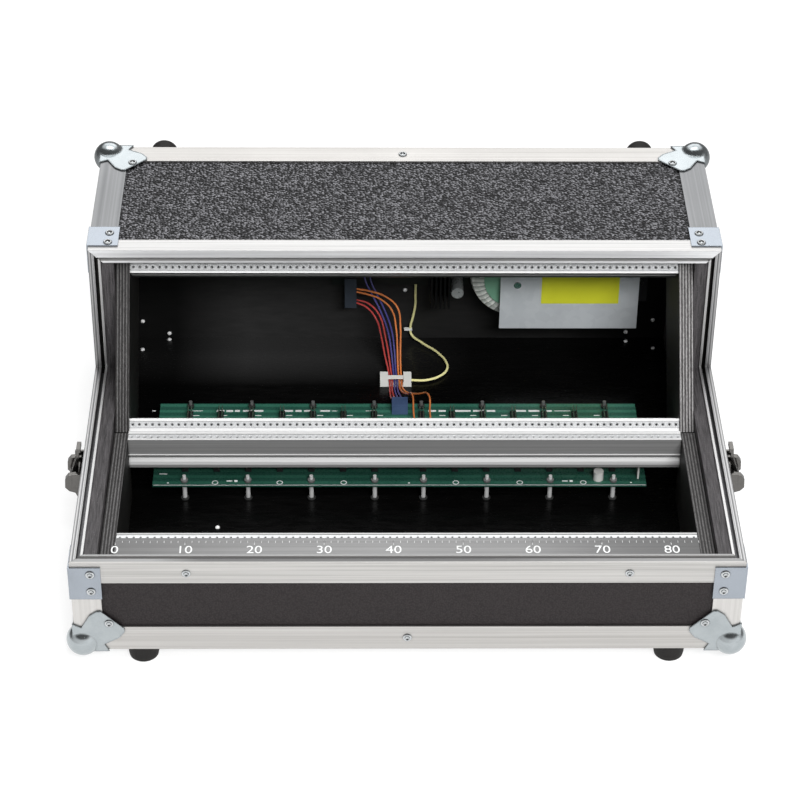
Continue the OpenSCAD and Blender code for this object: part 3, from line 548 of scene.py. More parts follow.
def wound_tape(name, centre):
    """Overlapping turns of pale tape round a ring that lies on the back wall; each turn is painted dark at one
    edge and pale towards the other, as painted shade and light of the overlaps.
    """
    mat, tree, shader = new_finish(name, rough=0.3, spec=0.5)
    x, _, z = xyz(tree)
    turn = math_node(tree, "ARCTAN2", math_node(tree, "SUBTRACT", z, centre.z),
                     math_node(tree, "SUBTRACT", x, centre.x))
    wobble = noise(tree, where(tree), 180.0, 3.0)
    laps = times(tree, turn, TAPE_TURNS / (2 * math.pi))
    lap_shade = math_node(tree, "FRACT", math_node(tree, "ADD", laps, times(tree, wobble, 0.5)))
    gloss = noise(tree, where(tree), 300.0, 3.0)
    # Painted shade and light: each turn is dark at one edge and pale towards the other.
    tone = times(tree, lap_shade, span(tree, gloss, 0.3, 0.7, 0.7, 1.2))
    feed(tree, shader, rough=span(tree, gloss, 0.3, 0.7, 0.2, 0.4), colour=ramp(tree, tone, [
        (0.0, (0.2, 0.23, 0.21)), (0.25, (0.5, 0.54, 0.5)), (0.9, (0.9, 0.92, 0.88))]))
    relief(tree, shader, math_node(tree, "ADD", lap_shade, gloss), 0.5, 0.0004)
    return mat


def make_finishes():
    return {
        "top_laminate": pebbled_laminate("top_laminate", [
            (0.001, 0.001, 0.0012), (0.045, 0.045, 0.048), (0.29, 0.29, 0.31)],
            470.0, 1.0, 0.3, 0.2, (1.05, 1.15, 1.15)),
        "side_laminate": pebbled_laminate("side_laminate", SKIN_TONES, 700.0, 0.2, 0.4, 0.3),
        "inner_floor": inner_black("inner_floor", (0.002, 0.002, 0.002), (0.0055, 0.0053, 0.0053), 0.26, 0.22,
                                   (0.046, 0.046, 0.046)),
        "inner_wall": inner_black("inner_wall", (0.032, 0.032, 0.032), (0.046, 0.0455, 0.0455), 0.42, 0.3),
        "black_liner": stained_wood("black_liner", (0.018, 0.0165, 0.017), (0.088, 0.082, 0.086)),
        "cheek_ply": plywood("cheek_ply", 0.8),
        # Painted light: the right upper cheek takes a paler copy of the ply.
        "cheek_ply_lit": plywood("cheek_ply_lit", 2.1),
        # Painted light and shade: the sloping rails take a paler copy of the rail metal and the front rail a
        # darker one; all three paint upright faces darker and faces that face down darker still.
        "rail_metal": drawn_aluminium("rail_metal", LONG_X, 0.9, metal=0.3, rough=0.42, upright=0.36),
        "rail_metal_lit": drawn_aluminium("rail_metal_lit", LONG_X, 1.0, metal=0.12, rough=0.42, upright=0.34),
        "rail_metal_shaded": drawn_aluminium("rail_metal_shaded", LONG_X, 0.56, metal=0.3, rough=0.42, upright=0.5),
        "strip_steel": zinc("strip_steel", (0.76, 0.77, 0.78), 0.36, 60.0, 0.35),
        "edge_x": drawn_aluminium("edge_x", LONG_X, 0.61, 0.022, 0.35),
        # Painted shade and light: edges drawn along y take a darker copy of the metal, with their upright faces
        # painted paler.
        "edge_y_shade_and_light": drawn_aluminium("edge_y_shade_and_light", LONG_Y, 0.275, -0.008, 0.35, upright=2.1),
        "edge_z": drawn_aluminium("edge_z", LONG_Z, 0.64, 0.022, 0.35, depth=0.12),
        "edge_bent": lip_aluminium("edge_bent"),
        "lip_x": grooved_lip("lip_x"),
        "corner_zinc": ball_zinc("corner_zinc"),
        "brace_zinc": zinc("brace_zinc", (0.37, 0.405, 0.45), 0.24, 40.0),
        "rivet_zinc": zinc("rivet_zinc", (0.58, 0.6, 0.61), 0.14, 120.0),
        # Painted highlight: the rivet tails inside are painted white for their glints.
        "tail_glint": zinc("tail_glint", (1.0, 1.0, 1.0), 0.3, 120.0, 0.1),
        "latch_nickel": zinc("latch_nickel", (0.15, 0.145, 0.138), 0.15, 300.0),
        "foot_rubber": plain_skin("foot_rubber", (0.014, 0.013, 0.0125), 0.66, grain=900.0, lift=0.3, spec=0.25),
        # Painted sheen: the strip's tone rises towards the middle and falls towards the ends.
        "strip_paint": drawn_aluminium("strip_paint", LONG_X, 0.3, metal=0.5, rough=0.38, fade=[
            (0.02, 0.6), (0.24, 0.9), (0.5, 1.0), (0.68, 0.9), (0.84, 0.6), (0.98, 0.4)]),
        "print_white": plain_skin("print_white", (0.82, 0.83, 0.83), 0.5, vary=0.05),
        "cover_sheet": spangled_sheet("cover_sheet"),
        "sticker_yellow": plain_skin("sticker_yellow", (0.8, 0.82, 0.045), 0.4, vary=0.04),
        "tape_wrap": wound_tape("tape_wrap", pt(95, 370, 91)),
        "disc_green": plain_skin("disc_green", (0.2, 0.42, 0.29), 0.5, vary=0.1),
        "board_green": circuit_board("board_green"),
        "heatsink_black": plain_skin("heatsink_black", (0.012, 0.012, 0.013), 0.4, metal=0.6),
        "can_grey": plain_skin("can_grey", (0.42, 0.44, 0.44), 0.3, metal=0.4),
        "plug_grey": plain_skin("plug_grey", (0.034, 0.042, 0.055), 0.45),
        "header_black": plain_skin("header_black", (0.015, 0.015, 0.016), 0.45),
        "pin_tin": zinc("pin_tin", (0.75, 0.72, 0.62), 0.25, 300.0),
        "terminal_blue": terminal_skin("terminal_blue"),
        "board_dark": plain_skin("board_dark", (0.008, 0.011, 0.01), 0.4, vary=0.3),
        "post_nickel": post_metal("post_nickel"),
        "wire_red": plain_skin("wire_red", (0.46, 0.06, 0.055), 0.22, vary=0.2, coat=0.3),
        "wire_blue": plain_skin("wire_blue", (0.07, 0.065, 0.24), 0.22, vary=0.2, coat=0.3),
        "wire_orange": plain_skin("wire_orange", (0.68, 0.21, 0.06), 0.22, vary=0.2, coat=0.3),
        "wire_yellow": plain_skin("wire_yellow", (0.86, 0.82, 0.4), 0.25, vary=0.06, coat=0.3),
        "tie_nylon": plain_skin("tie_nylon", (0.82, 0.83, 0.8), 0.4, vary=0.04),
        "inlet_black": plain_skin("inlet_black", (0.014, 0.014, 0.015), 0.35),
    }


NODE_FINISH = {
    "top_panel": "top_laminate", "front_panel": "side_laminate", "left_panel": "side_laminate",
    "right_panel": "side_laminate", "back_panel": "inner_wall", "bottom_panel": "inner_floor",
    "left_liner": "black_liner", "right_liner": "black_liner",
    "left_cheek_low": "cheek_ply", "right_cheek_low": "cheek_ply", "left_cheek_up": "cheek_ply",
    "right_cheek_up": "cheek_ply_lit", "rail_top": "rail_metal_lit", "rail_mid_up": "rail_metal_lit",
    "rail_mid_low": "rail_metal", "rail_front": "rail_metal_shaded", "thread_strips": "strip_steel",
    "front_strip": "strip_paint", "rail_screws": "rivet_zinc", "edges_long": "edge_x",
    "edges_top_side": "edge_y_shade_and_light", "edges_front_side": "edge_z", "edges_back_side": "edge_z",
    "edges_bottom_side": "edge_y_shade_and_light", "lip_top": "lip_x", "lip_front": "lip_x",
    "lip_left": "edge_bent", "lip_right": "edge_bent", "ball_corners": "corner_zinc",
    "braces": "brace_zinc", "rivets": "rivet_zinc", "feet_bottom": "foot_rubber",
    "feet_back": "foot_rubber", "latch_base_left": "latch_nickel", "latch_base_right": "latch_nickel",
    "latch_lever_left": "latch_nickel", "latch_lever_right": "latch_nickel",
    "latch_hook_left": "latch_nickel", "latch_hook_right": "latch_nickel",
    "supply_cover": "cover_sheet", "cover_sticker": "sticker_yellow", "transformer": "tape_wrap",
    "transformer_disc": "disc_green", "supply_bolts": "rivet_zinc", "supply_board": "board_dark",
    "supply_heatsink": "heatsink_black", "supply_capacitors": "can_grey", "supply_plug": "plug_grey",
    "bus_board_low": "board_green", "bus_board_up": "board_green", "bus_headers": "header_black",
    "bus_terminals": "terminal_blue", "board_spacers": "post_nickel", "wire_red": "wire_red",
    "wire_blue": "wire_blue", "wire_orange": "wire_orange", "wire_yellow": "wire_yellow",
    "tie_mount": "tie_nylon", "mains_inlet": "inlet_black", "mains_rocker": "inlet_black",
}


def dress_nodes(finishes):
    for name, key in NODE_FINISH.items():
        obj = CAD[name]
        obj.data.materials.clear()
        obj.data.materials.append(finishes[key])


# Mesh helpers.
def mesh_object(name, verts, faces):
    mesh = bpy.data.meshes.new(name)
    mesh.from_pydata([tuple(v) for v in verts], [], faces)
    mesh.validate()
    return add_object(name, mesh)


def from_bmesh(name, bm):
    obj = mesh_object(name, [], [])
    bm.to_mesh(obj.data)
    bm.free()
    return obj


def evaluated_mesh(obj):
    bpy.context.view_layer.update()
    return bpy.data.meshes.new_from_object(obj.evaluated_get(bpy.context.evaluated_depsgraph_get()))


def lathe(name, profile, sides):
    """A turned shape about z from (radius, height) pairs in millimetres, closed at both ends."""
    bm = bmesh.new()
    rings = []
    for r, z in profile:
        if r < 1e-6:
            rings.append([bm.verts.new((0, 0, z / 1000))])
        else:
            turns = [2 * math.pi * k / sides for k in range(sides)]
            rings.append([bm.verts.new(mm(r * math.cos(a), r * math.sin(a), z)) for a in turns])
    for a, b in zip(rings, rings[1:]):
        for k in range(sides):
            j = (k + 1) % sides
            if len(a) == 1 and len(b) > 1:
                bm.faces.new((a[0], b[j], b[k]))
            elif len(b) == 1 and len(a) > 1:
                bm.faces.new((a[k], a[j], b[0]))
            elif len(a) > 1:
                bm.faces.new((a[k], a[j], b[j], b[k]))
    bmesh.ops.recalc_face_normals(bm, faces=bm.faces)
    obj = from_bmesh(name, bm)
    for p in obj.data.polygons:
        p.use_smooth = True
    return obj


def box_piece(name, size, bevel=0.0):
    """A block about the origin, sizes in millimetres, with chamfered edges."""
    bm = bmesh.new()
    bmesh.ops.create_cube(bm, size=1.0)
    bmesh.ops.scale(bm, vec=mm(*size), verts=bm.verts)
    if bevel:
        bmesh.ops.bevel(bm, geom=bm.edges, offset=bevel / 1000, segments=1, affect="EDGES")
    return from_bmesh(name, bm)


def drop(obj):
    mesh = obj.data
    bpy.data.objects.remove(obj)
    bpy.data.meshes.remove(mesh)


# One tree sets out rows of a small piece on given points.
def set_out_tree():
    tree = bpy.data.node_groups.new("set_out", "GeometryNodeTree")
    face = tree.interface
    for name, kind in (("Points", "NodeSocketGeometry"), ("Piece", "NodeSocketObject"),
                       ("Count", "NodeSocketInt"), ("Pitch", "NodeSocketFloat"),
                       ("Weld", "NodeSocketFloat"), ("Finish", "NodeSocketMaterial")):
        face.new_socket(name=name, in_out="INPUT", socket_type=kind)
    face.new_socket(name="Geometry", in_out="OUTPUT", socket_type="NodeSocketGeometry")
    given = tree.nodes.new("NodeGroupInput").outputs
    line = put(tree, "GeometryNodeMeshLine", {"Count": given["Count"]}, mode="OFFSET")
    step = put(tree, "ShaderNodeCombineXYZ", {"X": given["Pitch"]})
    half = times(tree, math_node(tree, "ADD", given["Count"], -1.0), -0.5)
    origin = put(tree, "ShaderNodeCombineXYZ", {"X": times(tree, half, given["Pitch"])})
    tree.links.new(step.outputs[0], line.inputs["Offset"])
    tree.links.new(origin.outputs[0], line.inputs["Start Location"])
    piece = put(tree, "GeometryNodeObjectInfo", {"Object": given["Piece"], "As Instance": True})
    row = put(tree, "GeometryNodeInstanceOnPoints", {"Points": line.outputs[0],
                                                     "Instance": piece.outputs["Geometry"]})
    turn = put(tree, "GeometryNodeInputNamedAttribute", {"Name": "turn"}, data_type="FLOAT_VECTOR")
    rot = put(tree, "FunctionNodeEulerToRotation", {"Euler": turn.outputs["Attribute"]})
    put_on = put(tree, "GeometryNodeInstanceOnPoints", {"Points": given["Points"],
                                                        "Instance": row.outputs[0],
                                                        "Rotation": rot.outputs[0]})
    real = put(tree, "GeometryNodeRealizeInstances", {"Geometry": put_on.outputs[0]})
    weld = put(tree, "GeometryNodeMergeByDistance", {"Geometry": real.outputs[0],
                                                     "Distance": given["Weld"]})
    paint = put(tree, "GeometryNodeSetMaterial", {"Geometry": weld.outputs[0],
                                                  "Material": given["Finish"]})
    out = tree.nodes.new("NodeGroupOutput")
    tree.links.new(paint.outputs[0], out.inputs[0])
    return tree


def set_out(tree, name, piece, places, finish, count=1, pitch=0.0, weld=0.0, smooth=False):
    """Rows of a piece at places, each a point and a turn, as one plain mesh."""
    obj = mesh_object(name, [p for p, _ in places], [])
    turn = obj.data.attributes.new("turn", "FLOAT_VECTOR", "POINT")
    for k, (_, e) in enumerate(places):
        turn.data[k].vector = e
    mod = obj.modifiers.new("set_out", "NODES")
    mod.node_group = tree
    socket = {s.name: s.identifier for s in tree.interface.items_tree if s.in_out == "INPUT"}
    values = {"Piece": piece, "Count": count, "Pitch": pitch, "Weld": weld, "Finish": finish}
    for key, value in values.items():
        mod[socket[key]] = value
    mesh = evaluated_mesh(obj)
    obj.modifiers.clear()
    plain = obj.data
    obj.data = mesh
    bpy.data.meshes.remove(plain)
    mesh.name = name
    for p in mesh.polygons:
        p.use_smooth = smooth
    drop(piece)
    return obj


def case_piece(obj, slot, *replaced):
    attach(obj, "case")
    if replaced:
        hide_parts(*replaced)


# Pieces.
def strip_tile(mouth, bore):
    """One unit of a threaded strip with its hole, given the radius at the mouth and inside."""
    half_l, half_w = PITCH / 2, 2.7
    top, chamfer, under = -0.3, -1.1, -2.9
    steps = 3
    corners = [(-1, -1), (1, -1), (1, 1), (-1, 1)]
    rim = []
    for a, b in zip(corners, corners[1:] + corners[:1]):
        for t in (k / steps for k in range(steps)):
            rim.append(((a[0] + (b[0] - a[0]) * t) * half_l, (a[1] + (b[1] - a[1]) * t) * half_w))
    hole = [(x / math.hypot(x, y), y / math.hypot(x, y)) for x, y in rim]
    verts, faces = [], []
    for z, r in ((top, mouth), (chamfer, bore), (under, bore)):
        verts += [mm(x * r, y * r, z) for x, y in hole]
    for z in (top, under):
        verts += [mm(x, y, z) for x, y in rim]
    n = len(rim)
    for k in range(n):
        j = (k + 1) % n
        for a, b in ((3, 0), (0, 1), (1, 2), (2, 4)):
            faces.append((a * n + k, a * n + j, b * n + j, b * n + k))
        # Only the long sides are closed, so that neighbours join.
        if k // steps in (0, 2):
            faces.append((4 * n + k, 4 * n + j, 3 * n + j, 3 * n + k))
    return mesh_object("strip_tile", verts, faces)


def make_strips(tree, finishes):
    """Threaded strips of the four rails; the front one has fine holes."""
    bm = bmesh.new()
    rows = []
    for rails, radii in ((("mid_low", "mid_up", "top"), (1.6, 0.85)), (("front",), (0.95, 0.6))):
        places = [(pt(0, y, z), (t, 0, 0)) for y, z, t in (RAILS[name] for name in rails)]
        rows.append(set_out(tree, "threaded_strips", strip_tile(*radii), places, finishes["strip_steel"],
                            HOLES, PITCH / 1000, 0.00001))
        bm.from_mesh(rows[-1].data)
    bmesh.ops.holes_fill(bm, edges=[e for e in bm.edges if e.is_boundary])
    bmesh.ops.recalc_face_normals(bm, faces=bm.faces)
    bm.to_mesh(rows[0].data)
    bm.free()
    drop(rows[1])
    case_piece(rows[0], "steel", "thread_strips")


PIN_PITCH = 2.54
PINS = 8


def make_headers(tree, finishes):
    turn = (0, 0, math.pi / 2)
    high = 2.5
    places = [(pt(x, y + BUS_W / 2 + 2, BUS_TOP + high / 2), turn) for y in BUS_Y for x in HEADER_X]
    base = box_piece("header_unit", (PIN_PITCH, 5.0, high), 0.35)
    bases = set_out(tree, "header_bases", base, places, finishes["header_black"], PINS, PIN_PITCH / 1000)
    case_piece(bases, "black_plastic", "bus_headers")
    pins = [(p + Vector(mm(dx, 0, 3.0)), turn) for p, _ in places for dx in (-PIN_PITCH / 2, PIN_PITCH / 2)]
    pin = box_piece("header_pin", (0.64, 0.64, 8.6), 0.16)
    case_piece(set_out(tree, "header_pins", pin, pins, finishes["pin_tin"], PINS, PIN_PITCH / 1000), "steel")


WING_IN = 26.0
PLATE_T = 1.2
UP, DOWN = (0, 0, 0), (math.pi, 0, 0)
FRONT, BACK = (math.pi / 2, 0, 0), (-math.pi / 2, 0, 0)
RIGHT, LEFT = (0, math.pi / 2, 0), (0, -math.pi / 2, 0)


def rivet_places():
    """Rivets of both sides, with the way that each faces: corners, braces, then edges."""
    d, h, f, w, n, t = CASE_D, CASE_H, FRONT_H, HALF_W, WING_IN, PLATE_T
    places = []
    for s, side in ((1, RIGHT), (-1, LEFT)):
        for x, y, z, turn in (
                (w - n, -t, n, FRONT), (w + t, n, n, side), (w - n, n, -t, DOWN),
                (w - n, d + t, n, BACK), (w + t, d - n, n, side), (w - n, d - n, -t, DOWN),
                (w - n, d - n, h + t, UP), (w - n, d + t, h - n, BACK), (w + t, d - n, h - n, side),
                (w - 15.5, OPEN_Y + 23, h + t, UP), (w - 15, OPEN_Y + 10, h + t, UP),
                (w + t, OPEN_Y + 18, h - 14, side), (w - 14.8, -t, f - 10.3, FRONT),
                (w - 14.8, -t, f - 26, FRONT), (w + t, 14, f - 18, side), (w - 84, 0, f - 10, FRONT),
                (w, OPEN_Y + 11, (f + h) / 2 - 8, side), (w, 70, f - 11, side), (w, d - 11, h / 2, side)):
            places.append((pt(s * x, y, z), turn))
    return places + [(pt(0, d - 11, h), UP), (pt(0, d, h - 11), BACK), (pt(0, d, 11), BACK), (pt(0, 0, 11), FRONT)]


# Rivet tails inside: (x, z) on the back wall, (x, y) on the floor.
TAILS_BACK = [(-219, 26.6), (-196.9, 14.2), (3.2, 58.8), (191.9, 15.8), (214.3, 28.3)]
TAILS_FLOOR = [(-218.7, 368), (-196.9, 382.8), (-145, 129.3), (191.8, 380.4), (214.2, 370.3)]


def make_rivets(tree, finishes):
    head = lathe("rivet_head", [(0, 0), (3.4, 0), (3.42, 0.3), (3.2, 0.8), (2.8, 1.1), (2.35, 1.15),
                                (2.05, 0.95), (1.8, 0.2), (0, 0.1)], 20)
    obj = set_out(tree, "rivet_heads", head, rivet_places(), finishes["rivet_zinc"], smooth=True)
    case_piece(obj, "zinc", "rivets")
    tail = lathe("rivet_tail", [(0, -0.1), (1.7, -0.1), (1.85, 0.5), (1.6, 1.2), (0.9, 1.7), (0, 1.8)], 14)
    spots = [(pt(x, BACK_Y, z), FRONT) for x, z in TAILS_BACK]
    spots += [(pt(x, y, WALL), UP) for x, y in TAILS_FLOOR]
    case_piece(set_out(tree, "rivet_tails", tail, spots, finishes["tail_glint"], smooth=True), "steel")


# Marks on the bus boards: x from and to, width; those of the rear board's long row lie on one line.
MARK_T = 0.06
REAR_ROW = 259
REAR_MARKS = [(-203, -200, 1.2), (-172, -162, 0.8), (-151, -144.5, 2.4), (-143, -137.5, 2.4), (-136, -132, 2.4),
              (-129.5, -122, 2.4), (-120.5, -113, 2.4), (-96, -89, 2.4), (-87, -82, 2.4), (-80, -74, 2.4),
              (-67, -59, 2.0), (-57.5, -53, 0.8), (-30, -22.5, 0.8), (20.5, 27, 2.4), (29, 35, 2.4),
              (42.5, 55, 2.4), (57, 66, 2.4), (68, 75, 2.4), (92, 100, 2.4), (102, 111, 2.4), (115.5, 121, 2.0),
              (123, 136, 0.8)]
BARS = [(x0, x1, REAR_ROW, w) for x0, x1, w in REAR_MARKS]
BARS += [(x - 2.5, x + 2.5, 252.8, 0.9)
         for x in (-167, -144.5, -117, -92, -67, -43, -18.5, 32, 57, 82, 107, 132, 157)]
BARS += [(-139, -134.5, 167, 1.2), (-133, -130.5, 167, 2.2), (123.5, 128, 166.8, 1.2), (129.5, 132, 166.8, 2.2),
         (-185.5, -184, 164.6, 1.2), (2.9, 4.3, 164.4, 1.2), (176.8, 178.2, 164.8, 1.2), (-192, -186, 176, 1.0)]
BARS += [(-196, 189, front + 0.3, 0.5) for front in BUS_Y]


def make_print(tree, finishes):
    """Plain white marks on the bus boards: bars and rings, and a pale line along the front edges."""
    bm = bmesh.new()
    for x0, x1, y, w in BARS:
        size = mm(x1 - x0, w, MARK_T)
        spot = Matrix.Translation(pt((x0 + x1) / 2, y, BUS_TOP + MARK_T / 2)) @ Matrix.Diagonal((*size, 1.0))
        bmesh.ops.create_cube(bm, size=1.0, matrix=spot)
    bars = from_bmesh("board_bars", bm)
    bars.data.materials.append(finishes["print_white"])
    case_piece(bars, "circuit_board")
    inner, outer = 1.9, 2.5
    ring = lathe("board_ring", [(inner, 0), (outer, 0), (outer, MARK_T), (inner, MARK_T), (inner, 0)], 20)
    spots = [(pt(x, 165, BUS_TOP), UP) for x in (-148, -97.5, -47.5, 40.2, 90.3, 140.1)]
    spots += [(pt(152.7, 179.6, BUS_TOP), UP), (pt(153.6, 170.6, BUS_TOP), UP)]
    case_piece(set_out(tree, "board_rings", ring, spots, finishes["print_white"]), "circuit_board")


def make_tie(tree, finishes):
    """Narrow tie round the pale wire beside the back wall."""
    head = box_piece("tie_head", (7.0, 3.2, 2.2), 0.4)
    tie = set_out(tree, "wire_tie", head, [(pt(6.2, 382.8, 21.0), UP)], finishes["tie_nylon"])
    case_piece(tie, "white_plastic")


def make_ruler(tree, finishes):
    """Tick marks and plain numbers along the dark strip, one tick for each unit of width."""
    z = LOW_Z + 1.52
    white = finishes["print_white"]
    tens = range(0, HOLES, 10)
    short = box_piece("tick_short", (0.3, 2.4, MARK_T))
    ticks = set_out(tree, "ruler_ticks", short, [(pt(0, 34.4, z), UP)], white, HOLES + 1, PITCH / 1000)
    case_piece(ticks, "dark_strip")
    tall = box_piece("tick_tall", (0.4, 4.6, MARK_T))
    middle = pt((tens[-1] - HOLES) / 2 * PITCH, 33.3, z)
    case_piece(set_out(tree, "ruler_tens", tall, [(middle, UP)], white, len(tens), PITCH / 100), "dark_strip")
    bm = bmesh.new()
    for ten in tens:
        text = bpy.data.curves.new("number", "FONT")
        text.body = str(ten)
        text.size = 0.012
        text.align_x = "CENTER"
        text.extrude = MARK_T / 2000
        obj = add_object("number", text)
        mesh = evaluated_mesh(obj)
        mesh.transform(Matrix.Translation(pt((ten - HOLES / 2) * PITCH, 21.6, z)))
        bm.from_mesh(mesh)
        bpy.data.meshes.remove(mesh)
        bpy.data.objects.remove(obj)
        bpy.data.curves.remove(text)
    numbers = from_bmesh("ruler_numbers", bm)
    numbers.data.materials.append(white)
    case_piece(numbers, "dark_strip")


def tube(name, routes, radius, finish):
    """Round wires along smooth routes, given in millimetres of the case."""
    data = bpy.data.curves.new(name, "CURVE")
    data.dimensions = "3D"
    data.bevel_depth = radius / 1000
    data.bevel_resolution = 3
    data.resolution_u = 5
    data.use_fill_caps = True
    for route in routes:
        line = data.splines.new("BEZIER")
        line.bezier_points.add(len(route) - 1)
        for p, q in zip(line.bezier_points, route):
            p.co = pt(*q)
            p.handle_left_type = p.handle_right_type = "AUTO"
    obj = add_object(name, data)
    mesh = evaluated_mesh(obj)
    bpy.data.objects.remove(obj)
    bpy.data.curves.remove(data)
    piece = add_object(name, mesh)
    mesh.materials.clear()
    mesh.materials.append(finish)
    for p in mesh.polygons:
        p.use_smooth = True
    return piece


# Radius and routes of each wire.
WIRES = {
    "wire_red": (0.8, [
        [(-37.5, 368, 58), (-29, 364, 56), (-21, 358, 48), (-17, 349, 37), (-14, 339, 25), (-11, 330, 15),
         (-10, 321, 12), (-10, 306, 12), (-9, 291, 15), (-7, 277, 25), (-7, 266.1, 30)],
        [(-37.5, 368, 61), (-27, 364, 59.5), (-18, 358, 51), (-14, 349, 39), (-11, 339, 26.5),
         (-9, 330, 15.5), (-8, 321, 12), (-8, 306, 12), (-6, 291, 15), (-4, 277, 25), (-4, 266.1, 30)]]),
    "wire_blue": (0.8, [
        [(-32, 374, 86), (-30, 371.5, 77), (-25.5, 369, 67.5), (-18.5, 362, 56), (-11.5, 350, 42),
         (-8.5, 339, 28), (-7, 330, 16), (-6, 321, 12), (-5.8, 306, 12), (-3, 291, 15), (-1, 277, 25),
         (-1, 266.1, 30)],
        [(-27, 374, 86), (-25.5, 371.5, 77), (-21.5, 369, 68), (-15, 362, 57), (-8.5, 350, 43.5),
         (-6, 339, 29.5), (-5, 330, 16.5), (-4, 321, 12), (-3.8, 311, 12), (-2.4, 300.5, 13), (0, 290, 16),
         (2, 277, 25), (2, 266.1, 30)]]),
    "wire_orange": (0.8, [
        [(-37.5, 366.5, 73), (-26, 364.3, 72), (-14, 363, 68), (-3.5, 358, 60), (-1, 349, 47),
         (-1, 339, 32), (-0.8, 330, 17.5), (0, 321, 12), (0.3, 311, 12), (4.4, 301, 14), (12, 290, 20.5),
         (20.5, 276, 31), (21.6, 250, 33), (20, 228, 33), (12, 217, 31), (8.5, 208.6, 30)],
        [(-37.5, 366.5, 70), (-27, 364.3, 68.5), (-17, 363, 64.5), (-8, 358, 57), (-4.6, 349, 45),
         (-3.5, 339, 31), (-3, 330, 17), (-2, 321, 12), (-1.8, 311, 12), (0.4, 301, 14.4), (4, 290, 20.5),
         (7.6, 276, 31), (8.4, 250, 33), (8, 228, 33), (4, 217, 31), (3.5, 208.6, 30)]]),
    "wire_yellow": (1.1, [
        [(12, 380, 76), (12, 381, 68), (12, 384, 54), (12, 385, 44), (10, 384, 32), (8, 383, 22), (9, 382, 16),
         (16, 376, 13), (30, 362, 12), (38, 346, 12), (38, 336, 12), (32, 327, 12), (20, 321, 12),
         (8.1, 321, 12)]]),
}


def make_wires(finishes):
    for node, (radius, routes) in WIRES.items():
        obj = tube(node + "_smooth", routes, radius, finishes[node])
        case_piece(obj, node, node)


# Stage.
WHITE = (1, 1, 1, 1)


def make_world():
    """White to the camera; a soft roof and a low glow from the front light the part."""
    scene = bpy.context.scene
    scene.view_settings.view_transform = "Standard"
    world = bpy.data.worlds.new("studio")
    scene.world = world
    world.use_nodes = True
    tree = world.node_tree
    tree.nodes.clear()
    rays = put(tree, "ShaderNodeLightPath").outputs
    seen = math_node(tree, "MAXIMUM", rays["Is Camera Ray"], rays["Is Transmission Ray"])
    x, y, z = xyz(tree, "Generated")
    over = math_node(tree, "ARCTAN2", z, y)
    along = math_node(tree, "DIVIDE", math_node(tree, "SUBTRACT", over, math.radians(57)), math.radians(38))
    across = math_node(tree, "DIVIDE", x, 0.65)
    gap = math_node(tree, "ADD", times(tree, along, along), times(tree, across, across))
    roof = span(tree, gap, 0.7, 1.15, 1.25, 0.1)
    lift = math_node(tree, "ARCSINE", z)
    low = times(tree, span(tree, lift, math.radians(26), math.radians(34), 1.15, 0.0),
                span(tree, y, -0.45, 0.1, 1.0, 0.15))
    low = times(tree, low, span(tree, rays["Is Glossy Ray"], 0.0, 1.0, 0.3, 1.0))
    glow = times(tree, math_node(tree, "MAXIMUM", roof, low), span(tree, x, -1.0, 1.0, 0.7, 1.15))
    soft = put(tree, "ShaderNodeBackground", {"Color": WHITE, "Strength": glow})
    white = put(tree, "ShaderNodeBackground", {"Color": WHITE, "Strength": 1.0})
    pick = put(tree, "ShaderNodeMixShader", {0: seen, 1: soft.outputs[0], 2: white.outputs[0]})
    put(tree, "ShaderNodeOutputWorld", {"Surface": pick.outputs[0]})


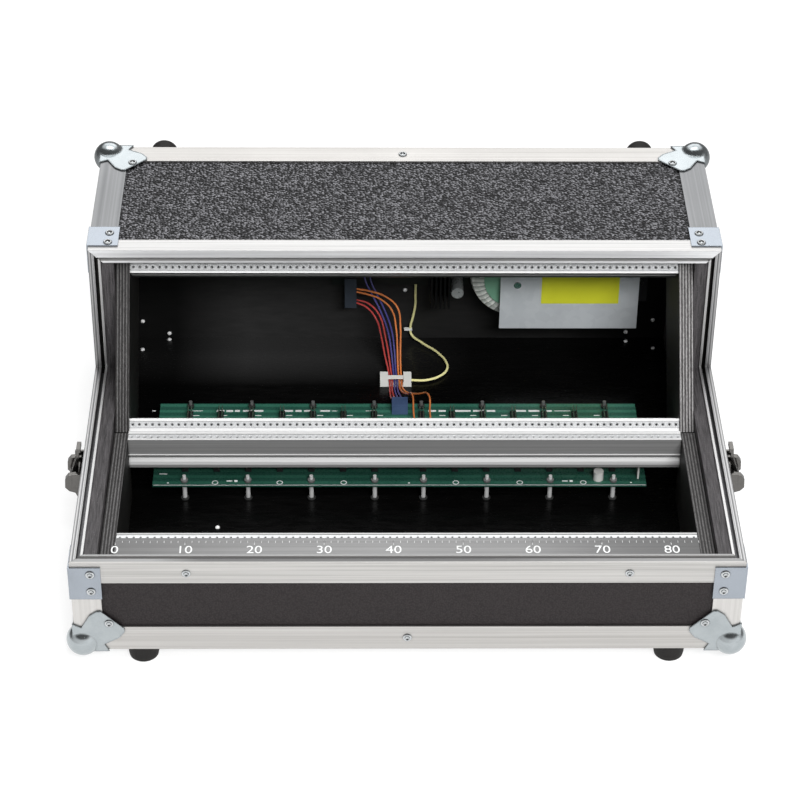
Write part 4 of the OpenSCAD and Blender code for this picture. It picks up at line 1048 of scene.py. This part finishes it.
def make_floor():
    """Pale floor, near white to the camera, with a soft shadow under the part."""
    bm = bmesh.new()
    bmesh.ops.create_grid(bm, x_segments=1, y_segments=1, size=6.0)
    floor = from_bmesh("floor", bm)
    mat = bpy.data.materials.new("white_floor")
    mat.use_nodes = True
    tree = mat.node_tree
    tree.nodes.clear()
    rays = put(tree, "ShaderNodeLightPath").outputs
    plain_ray = math_node(tree, "MAXIMUM", rays["Is Camera Ray"], rays["Is Transmission Ray"])
    seen = math_node(tree, "MAXIMUM", plain_ray, rays["Is Glossy Ray"])
    x, y, _ = xyz(tree)
    reach = times(tree, span(tree, y, -0.15, 0.25, 1.0, 0.1),
                  span(tree, math_node(tree, "ABSOLUTE", x), 0.45, 1.1, 1.0, 0.3))
    away = put(tree, "ShaderNodeVectorMath", {0: put(tree, "ShaderNodeTexCoord").outputs["Object"]},
               operation="LENGTH").outputs["Value"]
    strength = times(tree, math_node(tree, "MAXIMUM", plain_ray, reach), span(tree, away, 0.6, 1.6, 0.78, 1.0))
    glow = put(tree, "ShaderNodeEmission", {"Color": WHITE, "Strength": strength})
    cast = put(tree, "ShaderNodeBsdfDiffuse", {"Color": (0.3, 0.3, 0.3, 1)})
    both = put(tree, "ShaderNodeAddShader", {0: cast.outputs[0], 1: glow.outputs[0]})
    plain = put(tree, "ShaderNodeBsdfDiffuse", {"Color": (0.8, 0.8, 0.8, 1)})
    pick = put(tree, "ShaderNodeMixShader", {0: seen, 1: plain.outputs[0], 2: both.outputs[0]})
    put(tree, "ShaderNodeOutputMaterial", {"Surface": pick.outputs[0]})
    floor.data.materials.append(mat)


def area_light(name, place, aim, size, power, mirrored=True):
    """A soft light; one that is not mirrored leaves no highlight of its own."""
    data = bpy.data.lights.new(name, "AREA")
    data.shape = "RECTANGLE"
    data.size, data.size_y = size
    data.energy = power
    obj = add_object(name, data)
    obj.location = place
    obj.rotation_euler = (Vector(aim) - Vector(place)).to_track_quat("-Z", "Y").to_euler()
    obj.visible_glossy = mirrored


def make_lights():
    area_light("overhead", (0.0, 0.6, 2.1), (0, 0.0, 0.1), (1.6, 1.0), 9)
    area_light("behind", (0.0, 2.3, 1.75), (0, 0.1, 0.15), (2.6, 1.3), 9)
    area_light("front_high", (0.1, -1.25, 2.2), (0, 0.1, 0.1), (0.5, 0.4), 20, False)
    area_light("front_low", (0.75, -2.35, 2.15), (0.0, 0.1, 0.1), (1.4, 0.6), 80, False)


make_camera()
make_world()
make_floor()
make_lights()
finishes = make_finishes()
dress_nodes(finishes)
set_out_group = set_out_tree()
make_strips(set_out_group, finishes)
make_headers(set_out_group, finishes)
make_rivets(set_out_group, finishes)
make_ruler(set_out_group, finishes)
make_print(set_out_group, finishes)
make_tie(set_out_group, finishes)
make_wires(finishes)
